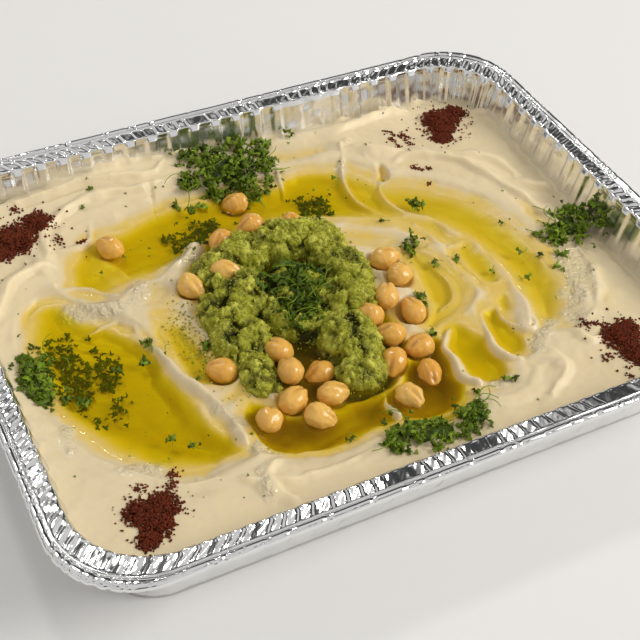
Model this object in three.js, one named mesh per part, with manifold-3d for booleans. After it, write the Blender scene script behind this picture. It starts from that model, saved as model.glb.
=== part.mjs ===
// Hummus spread in a half-size fluted foil tray, dressed with oil, chickpeas, green mash, parsley and sumac.
// Millimetres. X runs along the tray, Y across it, Z up. The origin is under the tray's middle, on the table.
import * as THREE from 'three';
import { mergeVertices } from 'three/addons/utils/BufferGeometryUtils.js';
import Module from 'manifold-3d';

const wasm = await Module();
wasm.setup();

// ---- Driving dimensions ----

const GAP = 0.35; // air between touching pieces
const CLEAR = 5; // how far a block that is cut, or that cuts, reaches past the cut

const TRAY = {
  length: 324,
  width: 264,
  rimHeight: 42, // flat of the rim above the table
  rimCornerRadius: 36,
  mouthLength: 300, // inner edge of the rim
  mouthWidth: 240,
  mouthCornerRadius: 34,
  wallSlope: 0.25, // sideways per unit of height
  foil: 0.8,
  fluteDepth: 2.2,
  flutesLong: 20,
  flutesShort: 15,
  flutesCorner: 5,
};

// One flute's section: part of its width, and how far that place stands out, from 0 to 1.
const FLUTE = [[0, 0], [0.35, 0], [0.5, 1], [0.85, 1]];

// The rolled edge's section, from the flat of the rim outwards and back under it: distance out from the mouth
// and height over the rim's plane.
const ROLLED_EDGE = [[7.4, 0], [8.6, 1.4], [11.1, 1.2], [12, -0.6], [9.6, -1.8]];

// The dip's surface is given as a height over the rim's plane, so it is mostly negative.
const DIP = {
  level: -13.5,
  tiltAlong: -1.5, // from the middle to the right end
  // Where it sinks, or with a minus rises: by how much, and the stretches of x and y over which that grows.
  sags: [
    { fall: 5, x: [108, 144], y: [100, -20] },
    { fall: 3, x: [40, 110], y: [60, 115] },
    { fall: -2.5, x: [20, -40], y: [85, 112] },
  ],
  cell: 8.6, // grid of the modelled surface
};

const OIL = {
  level: -16.5,
  bank: 5, // width of the slope outside a shore
  bankRise: 0.35,
  edge: 1.2, // the modelled oil stops this far inside the shore, where it is very thin
};

// Hollows left by the spoon. Each point of a route is x, y and half the hollow's width there.
const HOLLOWS = [
  {
    name: 'oil_far',
    depth: 4.5,
    run: 9,
    routes: [
      [[-95, 45, 9], [-82, 57, 17], [-66, 59, 17], [-48, 65, 17], [-28, 66, 15], [-6, 65, 13], [12, 63, 14],
        [26, 62, 18], [40, 56, 19], [54, 43, 14], [69, 36, 13], [82, 24, 11], [90, 8, 12], [94, -12, 11],
        [95, -30, 11], [92, -47, 10], [87, -59, 7]],
      [[60, 30, 6], [68, 20, 6], [72, 8, 4.5], [72, 2, 2]],
    ],
  },
  {
    name: 'oil_left',
    depth: 5,
    run: 10,
    routes: [
      [[-119, 32, 8], [-119, 18, 13], [-113, 0, 20], [-108, -18, 25], [-103, -38, 23], [-96, -56, 17],
        [-86, -66, 10], [-74, -71, 4]],
    ],
  },
  {
    name: 'oil_near',
    depth: 6,
    run: 7,
    routes: [
      [[-60, -60, 6], [-54, -74, 9], [-38, -79, 9], [-20, -77, 10], [-4, -79, 9], [11, -79, 13],
        [21, -68, 11], [27, -56, 5]],
      [[-23, 22, 30], [-18, -8, 38], [-15, -40, 32]],
    ],
  },
  {
    name: 'oil_crescent',
    depth: 4,
    run: 5,
    routes: [[[51, -3, 6], [52, -15, 8], [50, -26, 8], [44, -36, 5], [34, -43, 3]]],
  },
  { name: 'oil_film', depth: 1.6, run: 4, routes: [[[75, -7, 5], [76, -17, 6], [75, -26, 5]]] },
  { name: 'oil_near_right', depth: 3.5, run: 6, routes: [[[41, -54, 7], [42, -66, 10], [42, -77, 9]]] },
  { name: 'oil_right_tip', depth: 3, run: 5, routes: [[[63, -50, 5], [61, -62, 7], [60, -69, 6]]] },
  { name: 'oil_right_cup', depth: 3, run: 4, routes: [[[74, -45, 5], [74, -53, 5], [72, -59, 2.5]]] },
  {
    name: 'oil_left_inner',
    depth: 1.8,
    run: 4,
    routes: [[[-73, 0, 4], [-72, -14, 5], [-71, -28, 4.5], [-67, -35, 2.5]]],
  },
];

// Crests left beside the strokes. Each point is x, y and the crest's height over the rim's plane; slopes are
// the fall per millimetre to the left and to the right of the route. Proud crests stand up through the oil.
const RIDGES = [
  {
    slopes: [0.7, 0.45],
    route: [[-46, 50, -10.5], [-57, 41, -12], [-68, 29, -13], [-76, 12, -13.5], [-79, -8, -14]],
  },
  {
    slopes: [0.5, 0.6],
    route: [[-79, -8, -14], [-78, -26, -13.5], [-72, -40, -14], [-69, -58, -13], [-67, -74, -14]],
  },
  {
    slopes: [0.35, 0.6],
    route: [[-142, 4, -13], [-137, 26, -12], [-129, 41, -11.5], [-118, 47, -11], [-104, 41, -12]],
  },
  { slopes: [0.35, 0.6], route: [[-104, 41, -12], [-94, 30, -12.5], [-87, 18, -13.5], [-84, 6, -15]] },
  { slopes: [0.5, 0.12], route: [[-104, 82, -10.5], [-105, 66, -10], [-103, 55, -11], [-101, 46, -13]] },
  { slopes: [0.7, 0.15], route: [[-81, 94, -12], [-82, 78, -12.5], [-87, 68, -13]] },
  {
    slopes: [0.4, 0.25],
    route: [[-104, 86, -12], [-92, 93, -10.5], [-78, 98, -9.8], [-50, 96, -10.8], [-34, 99, -12]],
  },
  {
    slopes: [0.25, 0.7],
    route: [[72, 66, -15], [82, 68, -13], [94, 65, -12], [104, 57, -12], [112, 43, -12.5]],
  },
  {
    slopes: [0.25, 0.7],
    route: [[112, 43, -12.5], [117, 28, -13.5], [121, 14, -14.5], [125, 2, -15.5], [127, -10, -17]],
  },
  {
    slopes: [0.3, 0.5],
    route: [[103, 64, -14], [115, 56, -13.5], [124, 47, -13.5], [128, 36, -15], [127, 28, -17]],
  },
  { slopes: [0.2, 0.6], route: [[124, 30, -17], [132, 24, -15.5], [140, 20, -16], [145, 15, -18]] },
  { slopes: [0.4, 0.4], route: [[57, 87, -14], [66, 84, -12.5], [75, 77, -12.5], [86, 72, -14]] },
  {
    slopes: [0.3, 0.35],
    route: [[128, -20, -18], [125, -38, -16.5], [118, -53, -15.5], [107, -66, -15], [94, -73, -15]],
  },
  {
    slopes: [0.4, 0.5],
    route: [[-137, -14, -13], [-134, -32, -12.5], [-127, -48, -12], [-118, -62, -12], [-97, -80, -14]],
  },
  {
    slopes: [0.6, 0.5],
    route: [[21, 38, -15], [31, 32, -13], [41, 26, -12.5], [51, 19, -13.5], [59, 13, -15]],
  },
  {
    slopes: [0.3, 0.3],
    route: [[60, 12, -15], [65, -2, -14.5], [67, -18, -14], [64, -32, -13.5], [44, -50, -14.5]],
  },
  { slopes: [0.5, 0.6], route: [[42, 6, -14.5], [43, -8, -14.5], [41, -22, -14.5], [35, -33, -15.5]] },
  {
    slopes: [0.4, 0.2],
    route: [[-58, -86, -12], [-69, -92, -11.5], [-71, -99, -11.5], [-66, -107, -12.5]],
  },
  {
    proud: true,
    slopes: [0.9, 1.2],
    route: [[19, 93, -13.5], [16, 84, -14], [14, 75, -15.5], [13, 66, -19]],
  },
  {
    proud: true,
    slopes: [1, 0.6],
    route: [[57, 92, -13.5], [53, 80, -12.5], [48, 69, -13.5], [45, 58, -15.5], [43, 46, -19]],
  },
  {
    proud: true,
    slopes: [1, 0.8],
    route: [[66, 34, -16.5], [73, 25, -15], [77, 12, -15], [80, 0, -14.8], [84, -12, -15]],
  },
  { proud: true, slopes: [1, 0.8], route: [[84, -12, -15], [84, -28, -15], [81, -46, -15]] },
  {
    proud: true,
    slopes: [1, 1],
    route: [
      [81, -46, -15], [78, -56, -13.5], [73, -64, -12],
      [69, -66, -13.5], [67, -56, -14.5], [67, -45, -15.5],
    ],
  },
  {
    proud: true,
    slopes: [1, 1],
    route: [[55, -46, -15], [55, -57, -14.5], [52, -67, -13], [51, -75, -13], [57, -83, -13]],
  },
  {
    proud: true,
    slopes: [1, 1],
    route: [[34, -52, -15.5], [31, -60, -13.5], [32, -69, -13.5], [29, -77, -13], [33, -84, -13]],
  },
  { proud: true, slopes: [1.2, 1], route: [[-4, -68, -18], [-8, -78, -15], [-6, -86, -12.5]] },
];

// Knife cuts: x, y and the bottom's height over the rim's plane, with one slope for both sides.
const CUTS = [
  { slope: 1.3, route: [[-48, 94, -14], [-51, 80, -17.5], [-53, 66, -22]] },
  { slope: 1.6, route: [[66, 68, -18], [64.5, 60, -21]] },
  {
    slope: 0.35,
    route: [
      [-118, 107, -12], [-100, 108, -13], [-84, 108, -13],
      [-68, 111, -12], [-50, 106, -13], [-40, 111, -12],
    ],
  },
];

// Each chickpea is x, y and its middle's height over the rim's plane.
const CHICKPEA = { length: 13.6, width: 11.8, height: 11.4, beak: 1.4, spread: 0.06, lean: 0.35 };
const CHICKPEAS = [
  [-80, 63, -14], [-12, 72, -16.5], [-15, 46, -9.5], [-32, 43, -11], [5, 43, -13],
  [-56, 22, -13], [-40, 20, -9], [34, 3, -14], [35, -11, -13], [21, -25, -10],
  [29, -33, -14.5], [8, -32, -11], [13, -44, -13], [21, -53, -15], [6, -58, -14.5],
  [18, -68, -17], [3, -77, -16], [-37, -72, -15], [-27, -63, -15.5], [-44, -60, -14.5],
  [-56, -65, -15], [-39, -48, -11], [-38, -33, -12], [-63, -31, -15.5], [-25, -49, -17],
];

// The pocket that a chickpea presses into the dip: how far its floor is under the chickpea's middle.
const PRESS = { below: 6.8, radius: 7, slope: 1.2 };

// Lobes of the green mash: x, y, half width along X and Y, and height over the oil.
const MASH = {
  sink: 5.5, // how far it reaches below the oil
  lobes: [
    [-42, 24, 13, 15, 9], [-26, 33, 17, 12, 11], [-4, 34, 18, 12, 12], [12, 26, 12, 16, 9],
    [-48, -2, 13, 17, 10], [-36, 6, 14, 15, 12], [-49, -20, 14, 18, 10], [-50, -42, 9, 12, 7],
    [14, 2, 11, 18, 11], [5, -18, 13, 17, 12], [-6, -40, 14, 19, 12], [-9, -56, 12, 11, 8],
    [-16, -8, 20, 26, 9],
  ],
  lump: 1.5,
  middle: [-18, -8],
  sectors: 28,
  rings: 7,
};

// How far from its middle an outline is looked for, and by what steps.
const OUTLINE = { nearest: 4, farthest: 90, step: 0.5 };

// A heap gets thinner from its middle to this part at its edge, is uneven by this part either way, and reaches
// this far below what it lies on, where it is cut off. Its leaves lie within this part of its outline.
const HEAP = { edge: 0.25, uneven: 0.2, foot: 4, leavesWithin: 0.9 };

// A chopped leaf: half its length and half its width, from the smallest to the largest, half its thickness,
// how high its sides are folded up, and how far it may tip.
const LEAF = { long: [3.4, 5.4], wide: [1.6, 2.8], thick: 0.35, fold: 0.8, tip: 0.8 };

// Heaps of chopped parsley and of sumac: the middle, blobs of x, y and radius that make the outline,
// the thickness, and how many leaves stand out.
const LEAFY = { sectors: 14, rings: 3 };
const PARSLEY = [
  { name: 'parsley_far', middle: [-8, 94], thick: 6, leaves: 7,
    blobs: [[-14, 104, 12], [10, 103, 11], [-24, 90, 10], [-4, 88, 12], [-28, 78, 8]] },
  { name: 'parsley_near', middle: [0, -101], thick: 5, leaves: 5,
    blobs: [[-14, -101, 8], [-4, -102, 8], [4, -101, 5], [12, -102, 7], [20, -99, 6]] },
  { name: 'parsley_right', middle: [129, -8], thick: 5, leaves: 4,
    blobs: [[119, -10, 6], [130, -8, 9], [138, -5, 7]] },
  { name: 'parsley_left', middle: [-138, -7], thick: 4, leaves: 4,
    blobs: [[-140, 3, 6], [-139, -8, 7], [-134, -16, 5]] },
  { name: 'parsley_on_mash', middle: [-14, 0], onMash: true, thick: 4, leaves: 4,
    blobs: [[-15, 12, 10], [-12, -2, 12], [-19, -14, 9], [-4, 8, 9], [-25, -25, 6]] },
].map((heap) => ({ ...LEAFY, ...heap }));

const GRAINY = { sectors: 12, rings: 2 };
const SUMAC = [
  { name: 'sumac_near_left', middle: [-120, -91], thick: 2.6,
    blobs: [[-120, -88, 10], [-124, -99, 6], [-112, -91, 5]] },
  { name: 'sumac_far_left', middle: [-118, 84], thick: 3.2,
    blobs: [[-122, 84, 13], [-107, 88, 9], [-128, 76, 7]] },
  { name: 'sumac_far_right', middle: [115, 85], thick: 3,
    blobs: [[117, 88, 11], [109, 76, 7], [128, 92, 7]] },
  { name: 'sumac_near_right', middle: [107, -90], thick: 2.6,
    blobs: [[105, -88, 9], [114, -85, 6], [108, -99, 7]] },
].map((heap) => ({ ...GRAINY, ...heap }));

const COLOURS = {
  foil: 0xc9cbcc,
  hummus: 0xe2cfaa,
  oil: 0xc9a51c,
  chickpea: 0xe3b077,
  mash: 0x8a9540,
  parsley: 0x2f4f1c,
  sumac: 0x5e1f16,
};

// ---- Numbers ----

const clamp = (x, low, high) => Math.min(high, Math.max(low, x));
const mix = (a, b, t) => a + (b - a) * t;

function smooth(from, to, x) {
  const t = clamp((x - from) / (to - from), 0, 1);
  return t * t * (3 - 2 * t);
}

function seeded(seed) {
  let state = seed;
  return () => {
    state = (state * 1664525 + 1013904223) % 4294967296;
    return state / 4294967296;
  };
}

// A Catmull-Rom curve through the points, as points a few millimetres apart.
function sampled(points, perSpan = 5) {
  const places = points.map((p) => new THREE.Vector3(...p));
  const curve = new THREE.CatmullRomCurve3(places, false, 'catmullrom', 0.5);
  return curve.getPoints((points.length - 1) * perSpan);
}

// Nearest place on a sampled route: the distance, its third number there, and the side (+1 is left).
function nearest(route, x, y, weigh) {
  let best = { score: Infinity };
  for (let i = 0; i + 1 < route.length; i++) {
    const a = route[i];
    const dx = route[i + 1].x - a.x;
    const dy = route[i + 1].y - a.y;
    const t = clamp(((x - a.x) * dx + (y - a.y) * dy) / (dx * dx + dy * dy), 0, 1);
    const distance = Math.hypot(x - a.x - t * dx, y - a.y - t * dy);
    const value = mix(a.z, route[i + 1].z, t);
    const score = weigh ? distance - value : distance;
    const side = Math.sign(dx * (y - a.y) - dy * (x - a.x));
    if (score < best.score) best = { score, distance, value, side };
  }
  return best;
}

for (const hollow of HOLLOWS) hollow.sampled = hollow.routes.map((route) => sampled(route));
for (const stroke of [...RIDGES, ...CUTS]) stroke.sampled = sampled(stroke.route);
const PROUD_RIDGES = RIDGES.filter((ridge) => ridge.proud);
const LAND_RIDGES = RIDGES.filter((ridge) => !ridge.proud);

// ---- The dip's surface ----

// Chickpeas are pushed apart until none touch, a little at a time.
function settled(spots) {
  const moved = spots.map((spot) => new THREE.Vector3(...spot));
  const reach = CHICKPEA.length + GAP;
  for (let round = 0; round < 80; round++)
    for (let i = 0; i < moved.length; i++)
      for (let j = i + 1; j < moved.length; j++) {
        const apart = moved[i].clone().sub(moved[j]);
        const short = reach - apart.length();
        if (short <= 0) continue;
        apart.setLength(short / 4);
        moved[i].add(apart);
        moved[j].sub(apart);
      }
  return moved.map((spot) => spot.toArray());
}

const SETTLED = settled(CHICKPEAS);

// The height that the dip was first spread to: a tilt, its sags and soft waves a few centimetres long.
function spread(x, y) {
  const tilt = (DIP.tiltAlong * x) / (TRAY.mouthLength / 2);
  const sags = DIP.sags.map((sag) => sag.fall * smooth(...sag.x, x) * smooth(...sag.y, y));
  const sunk = sags.reduce((sum, fall) => sum + fall);
  const waves = 0.5 * Math.sin(x / 17 + 1.3) * Math.sin(y / 21) + 0.35 * Math.sin((x + y) / 13);
  return DIP.level + tilt - sunk + waves;
}

// Signed distance to a hollow's shore, negative inside.
function shore(hollow, x, y) {
  return Math.min(...hollow.sampled.map((route) => nearest(route, x, y, true).score));
}

function crested(height, ridges, x, y) {
  return ridges.reduce((high, { sampled: route, slopes }) => {
    const { distance, value, side } = nearest(route, x, y);
    return Math.max(high, value - slopes[side > 0 ? 0 : 1] * distance);
  }, height);
}

// Height of the dip over the rim's plane: the spread, then its crests, hollows, cuts and pockets.
function dipHeight(x, y) {
  let height = crested(spread(x, y), LAND_RIDGES, x, y);
  let [near, hollow] = [Infinity, null];
  for (const each of HOLLOWS) {
    const s = shore(each, x, y);
    if (s < near) [near, hollow] = [s, each];
  }
  if (near < 0) height = OIL.level - hollow.depth * (1 - (1 - clamp(-near / hollow.run, 0, 1)) ** 2);
  else if (near < OIL.bank) height = mix(OIL.level + OIL.bankRise * near, height, smooth(0, OIL.bank, near));
  height = crested(height, PROUD_RIDGES, x, y);
  for (const cut of CUTS) {
    const { distance, value } = nearest(cut.sampled, x, y);
    height = Math.min(height, value + cut.slope * distance);
  }
  for (const [px, py, pz] of SETTLED) {
    const away = Math.hypot(x - px, y - py);
    height = Math.min(height, pz - PRESS.below + PRESS.slope * Math.max(0, away - PRESS.radius));
  }
  return height;
}

// ---- Solids ----

function solid(geometry) {
  const bare = new THREE.BufferGeometry();
  bare.setAttribute('position', geometry.getAttribute('position').clone());
  bare.setIndex(geometry.index);
  const merged = mergeVertices(bare, 1e-4);
  return new wasm.Manifold(new wasm.Mesh({
    numProp: 3,
    vertProperties: new Float32Array(merged.attributes.position.array),
    triVerts: new Uint32Array(merged.index.array),
  }));
}

function geometryOf(manifold) {
  const mesh = manifold.getMesh();
  const geometry = new THREE.BufferGeometry();
  geometry.setAttribute('position', new THREE.BufferAttribute(mesh.vertProperties, 3));
  geometry.setIndex(new THREE.BufferAttribute(mesh.triVerts, 1));
  return geometry;
}

function fromLists(points, triangles) {
  const geometry = new THREE.BufferGeometry();
  geometry.setAttribute('position', new THREE.Float32BufferAttribute(points.flat(), 3));
  geometry.setIndex(triangles.flat());
  return solid(geometry);
}

// The largest body of a solid, so that no scrap is left over from a cut.
function largest(manifold) {
  return manifold.decompose().sort((a, b) => b.volume() - a.volume())[0];
}

const joined = (parts) => parts.reduce((all, part) => all.add(part));

// A closed shell through rings of points that all go counterclockwise: the first ring is capped upwards
// and the last one downwards.
function stitched(rings, [x, y] = [0, 0]) {
  const points = rings.flat();
  const triangles = [];
  let start = 0;
  for (let k = 0; k + 1 < rings.length; k++) {
    const [na, nb] = [rings[k].length, rings[k + 1].length];
    const [base, next] = [start, start + na];
    let [i, j] = [0, 0];
    while (i < na || j < nb) {
      const [a, b] = [base + (i % na), next + (j % nb)];
      if (j === nb || (i < na && (i + 1) / na <= (j + 1) / nb + 1e-9)) {
        i++;
        triangles.push([a, b, base + (i % na)]);
      } else {
        j++;
        triangles.push([a, b, next + (j % nb)]);
      }
    }
    start = next;
  }
  const cap = (ring, from, upward) => {
    const centre = points.length;
    points.push([x, y, ring[0][2]]);
    ring.forEach((_, i) => {
      const [a, b] = [from + i, from + ((i + 1) % ring.length)];
      triangles.push(upward ? [centre, a, b] : [centre, b, a]);
    });
  };
  cap(rings[0], 0, true);
  cap(rings[rings.length - 1], start, false);
  return fromLists(points, triangles);
}

// A block over a rectangle, with a height function for its top and a flat bottom.
function block(x0, x1, y0, y1, cell, topAt, bottom) {
  const nx = Math.ceil((x1 - x0) / cell);
  const ny = Math.ceil((y1 - y0) / cell);
  const points = [];
  const triangles = [];
  for (let j = 0; j <= ny; j++)
    for (let i = 0; i <= nx; i++) {
      const [x, y] = [mix(x0, x1, i / nx), mix(y0, y1, j / ny)];
      points.push([x, y, topAt(x, y)]);
    }
  const at = (i, j) => j * (nx + 1) + i;
  for (let j = 0; j < ny; j++)
    for (let i = 0; i < nx; i++) {
      const [a, b, c, d] = [at(i, j), at(i + 1, j), at(i + 1, j + 1), at(i, j + 1)];
      const flatter = Math.abs(points[a][2] - points[c][2]) <= Math.abs(points[b][2] - points[d][2]);
      if (flatter) triangles.push([a, b, c], [a, c, d]);
      else triangles.push([a, b, d], [b, c, d]);
    }
  const edge = [];
  for (let i = 0; i < nx; i++) edge.push(at(i, 0));
  for (let j = 0; j < ny; j++) edge.push(at(nx, j));
  for (let i = nx; i > 0; i--) edge.push(at(i, ny));
  for (let j = ny; j > 0; j--) edge.push(at(0, j));
  const low = points.length;
  for (const k of edge) points.push([points[k][0], points[k][1], bottom]);
  const centre = points.length;
  points.push([(x0 + x1) / 2, (y0 + y1) / 2, bottom]);
  edge.forEach((k, n) => {
    const next = (n + 1) % edge.length;
    triangles.push([k, low + n, low + next], [k, low + next, edge[next]], [centre, low + next, low + n]);
  });
  return fromLists(points, triangles);
}

// ---- The tray ----

const FLUTES = 2 * (TRAY.flutesLong + TRAY.flutesShort) + 4 * TRAY.flutesCorner;
const RIM = TRAY.rimHeight;

// A place on a rounded rectangle, u flutes round it, counterclockwise from the right side's near end.
function roundPoint(u, halfX, halfY, radius) {
  const [sx, sy] = [halfX - radius, halfY - radius];
  const corners = [[sx, sy], [-sx, sy], [-sx, -sy], [sx, -sy]];
  const starts = [[halfX, -sy], [sx, halfY], [-halfX, sy], [-sx, -halfY]];
  const ends = [[halfX, sy], [-sx, halfY], [-halfX, -sy], [sx, -halfY]];
  let left = ((u % FLUTES) + FLUTES) % FLUTES;
  for (let side = 0; side < 4; side++) {
    const straight = side % 2 ? TRAY.flutesLong : TRAY.flutesShort;
    if (left <= straight) {
      const t = left / straight;
      const turn = (side * Math.PI) / 2;
      return [mix(starts[side][0], ends[side][0], t), mix(starts[side][1], ends[side][1], t), turn];
    }
    left -= straight;
    if (left <= TRAY.flutesCorner) {
      const turn = ((side + left / TRAY.flutesCorner) * Math.PI) / 2;
      return [corners[side][0] + radius * Math.cos(turn), corners[side][1] + radius * Math.sin(turn), turn];
    }
    left -= TRAY.flutesCorner;
  }
  throw new Error('the outline has no such place');
}

// A ring round the tray, set out from the mouth's outline, at one height.
function trayRing(outset, z, fluted = false) {
  const steps = fluted ? FLUTE : [[0, 0]];
  const radius = TRAY.mouthCornerRadius + Math.min(outset, TRAY.rimCornerRadius - TRAY.mouthCornerRadius);
  const ring = [];
  for (let k = 0; k < FLUTES; k++)
    for (const [along, out] of steps) {
      const [halfX, halfY] = [TRAY.mouthLength / 2 + outset, TRAY.mouthWidth / 2 + outset];
      const [x, y, turn] = roundPoint(k + along, halfX, halfY, radius);
      const stand = out * TRAY.fluteDepth;
      ring.push([x + stand * Math.cos(turn), y + stand * Math.sin(turn), z]);
    }
  return ring;
}

const wallInset = (z) => -TRAY.wallSlope * (RIM - z);

// The floor's edge inside, the mouth, the rolled edge, the mouth from outside and the floor's edge outside.
function makeTray() {
  const { foil } = TRAY;
  return stitched([
    trayRing(wallInset(foil), foil),
    trayRing(0, RIM, true),
    ...ROLLED_EDGE.map(([out, up]) => trayRing(out, RIM + up)),
    trayRing(foil, RIM - foil, true),
    trayRing(wallInset(0) + foil, 0),
  ]);
}

// The space inside the flutes, less the gap. Its straight sides need no points between the corners, and these
// start at the same x and y at every height.
function makeCavity() {
  const near = 0.1;
  const inCorner = ([x, y]) => {
    const [sx, sy] = [TRAY.mouthLength / 2, TRAY.mouthWidth / 2].map((half) => half - TRAY.mouthCornerRadius);
    return Math.abs(x) > sx - near && Math.abs(y) > sy - near;
  };
  const ring = (z) => trayRing(wallInset(z) - GAP, z).filter(inCorner);
  return stitched([ring(RIM), ring(TRAY.foil + GAP)]);
}

// ---- The dip, its oil and its chickpeas ----

function makeDip() {
  const [x, y] = [TRAY.mouthLength / 2, TRAY.mouthWidth / 2];
  const top = (px, py) => RIM + dipHeight(px, py);
  return block(-x, x, -y, y, DIP.cell, top, -CLEAR).intersect(makeCavity());
}

// A route's outline as an upright prism, a little inside its shore: down its right side and back up its left,
// with a half circle round either end.
function prism(route, low, high) {
  const places = sampled(route, 2);
  const left = [];
  const right = [];
  places.forEach((p, i) => {
    const [a, b] = [places[Math.max(0, i - 1)], places[Math.min(places.length - 1, i + 1)]];
    const along = Math.atan2(b.y - a.y, b.x - a.x);
    const half = p.z - OIL.edge;
    left.push(new THREE.Vector2(p.x - half * Math.sin(along), p.y + half * Math.cos(along)));
    right.push(new THREE.Vector2(p.x + half * Math.sin(along), p.y - half * Math.cos(along)));
  });
  left.reverse();
  const ending = (p, q) => {
    const middle = p.clone().add(q).multiplyScalar(0.5);
    return [1, 2, 3].map((k) => p.clone().rotateAround(middle, (k * Math.PI) / 4));
  };
  const outline = [...right, ...ending(right.at(-1), left[0]), ...left, ...ending(left.at(-1), right[0])];
  const prismForm = { depth: high - low, bevelEnabled: false };
  return solid(new THREE.ExtrudeGeometry(new THREE.Shape(outline), prismForm).translate(0, 0, low));
}

function makeOil(hollow, blockers) {
  const level = RIM + OIL.level;
  const pool = joined(hollow.routes.map((route) => prism(route, level - hollow.depth - CLEAR, level)));
  return largest(pool.subtract(blockers));
}

// How one chickpea differs from the next: its half sizes, and how it is turned and tipped.
function chickpeaForm(k, grow) {
  const draw = seeded(100 + k);
  const scale = 1 + CHICKPEA.spread * (2 * draw() - 1);
  const half = [CHICKPEA.length, CHICKPEA.width, CHICKPEA.height].map((size) => (size / 2) * scale + grow);
  return { half, turn: 2 * Math.PI * draw(), lean: CHICKPEA.lean * (2 * draw() - 1) };
}

function makeChickpea(k, grow = 0) {
  const { half, turn, lean } = chickpeaForm(k, grow);
  const [x, y, z] = SETTLED[k];
  const shape = new THREE.IcosahedronGeometry(1, 1);
  const place = shape.getAttribute('position');
  for (let i = 0; i < place.count; i++) {
    const [u, v, w] = [place.getX(i), place.getY(i), place.getZ(i)];
    place.setXYZ(i, u * half[0] + CHICKPEA.beak * Math.max(0, u) ** 4, v * half[1], w * half[2]);
  }
  return solid(shape.rotateY(lean).rotateZ(turn).translate(x, y, RIM + z));
}

// The upright hole that a chickpea leaves in the oil and the mash round it.
function chickpeaHole(k) {
  const sides = 7;
  const { half, turn } = chickpeaForm(k, GAP);
  const [x, y, z] = SETTLED[k];
  const [low, high] = [RIM + z - half[2] - GAP, RIM + CLEAR];
  const flat = Math.cos(Math.PI / sides);
  const hole = new THREE.CylinderGeometry(1 / flat, 1 / flat, high - low, sides).rotateX(Math.PI / 2);
  hole.scale(half[0] + CHICKPEA.beak, half[1], 1).rotateZ(turn);
  return solid(hole.translate(x, y, (low + high) / 2));
}

// ---- The mash ----

const lumps = (x, y) => Math.sin(x / 3.1 + 2 * Math.sin(y / 7)) * Math.sin(y / 2.9 + 1.5 * Math.sin(x / 6));

// How deep inside a lobe a place is, from 1 at its middle to 0 at its edge.
const within = ([cx, cy, rx, ry], x, y) => 1 - ((x - cx) / rx) ** 2 - ((y - cy) / ry) ** 2;

function mashHeight(x, y) {
  let dome = 0;
  for (const lobe of MASH.lobes) {
    const inside = clamp(within(lobe, x, y), 0, 1);
    dome = Math.max(dome, lobe[4] * (1 - (1 - inside) ** 2));
  }
  return OIL.level + dome + MASH.lump * lumps(x, y) * smooth(0, 4, dome);
}

// A lump over a star-shaped outline: rings of points from its middle out, then a foot under its edge.
function polarLump({ middle: [x, y], sectors, rings }, reach, heightAt, foot) {
  const levels = [];
  for (let ring = 1; ring <= rings; ring++)
    levels.push(Array.from({ length: sectors }, (_, s) => {
      const turn = (2 * Math.PI * s) / sectors;
      const part = (ring / rings) ** 0.85;
      const away = reach(turn) * part;
      const [px, py] = [x + away * Math.cos(turn), y + away * Math.sin(turn)];
      return [px, py, RIM + heightAt(px, py, part)];
    }));
  levels.push(levels[rings - 1].map(([px, py]) => [px, py, RIM + foot]));
  return stitched(levels, [x, y]);
}

// How far out the last covered place is in one direction.
function reachOf([x, y], turn, covered) {
  let reach = OUTLINE.farthest;
  const open = () => !covered(x + reach * Math.cos(turn), y + reach * Math.sin(turn));
  while (reach > OUTLINE.nearest && open()) reach -= OUTLINE.step;
  return reach;
}

function makeMash(grow = 0) {
  const covered = (x, y) => MASH.lobes.some((lobe) => within(lobe, x, y) > 0);
  const reach = (turn) => reachOf(MASH.middle, turn, covered) + grow;
  const heightAt = (x, y, part) => (part < 1 ? mashHeight(x, y) : OIL.level) + grow;
  return polarLump(MASH, reach, heightAt, OIL.level - MASH.sink);
}

// ---- Garnish ----

// A chopped leaf: a thin kite folded along its rib, both faces split alike.
function leaf(place, draw) {
  const { thick, fold, tip } = LEAF;
  const [long, wide] = [mix(...LEAF.long, draw()), mix(...LEAF.wide, draw())];
  const kite = [[-long, 0, 0], [0, -wide, fold], [long, 0, 0], [0, wide, fold]];
  const points = [thick, -thick].flatMap((side) => kite.map(([x, y, z]) => [x, y, z + side]));
  const triangles = [[0, 1, 2], [0, 2, 3], [4, 6, 5], [4, 7, 6]];
  for (let k = 0; k < 4; k++) {
    const next = (k + 1) % 4;
    triangles.push([k, k + 4, next + 4], [k, next + 4, next]);
  }
  const turned = new THREE.Euler(tip * (2 * draw() - 1), tip * (2 * draw() - 1), 2 * Math.PI * draw());
  const matrix = new THREE.Matrix4().makeRotationFromEuler(turned).setPosition(place);
  return fromLists(points.map((p) => new THREE.Vector3(...p).applyMatrix4(matrix).toArray()), triangles);
}

function makeHeap({ middle, blobs, thick, sectors, rings, leaves = 0, onMash }, seed, ground, blockers) {
  const draw = seeded(seed);
  const covered = (x, y) => blobs.some(([bx, by, radius]) => Math.hypot(x - bx, y - by) < radius);
  const reach = (turn) => reachOf(middle, turn, covered);
  const rise = (part) => thick * (1 - (1 - HEAP.edge) * part ** 2);
  const heightAt = (x, y, part) => ground(x, y) + rise(part) * (1 + HEAP.uneven * (2 * draw() - 1));
  const parts = [polarLump({ middle, sectors, rings }, reach, heightAt, ground(...middle) - HEAP.foot)];
  for (let k = 0; k < leaves; k++) {
    const turn = 2 * Math.PI * draw();
    const part = Math.sqrt(draw()) * HEAP.leavesWithin;
    const away = reach(turn) * part;
    const [x, y] = [middle[0] + away * Math.cos(turn), middle[1] + away * Math.sin(turn)];
    parts.push(leaf(new THREE.Vector3(x, y, RIM + ground(x, y) + rise(part)), draw));
  }
  const heap = joined(parts).subtract(blockers);
  return largest(onMash ? heap : heap.intersect(makeCavity()));
}

// ---- Assembly ----

const object = new THREE.Group();

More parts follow.
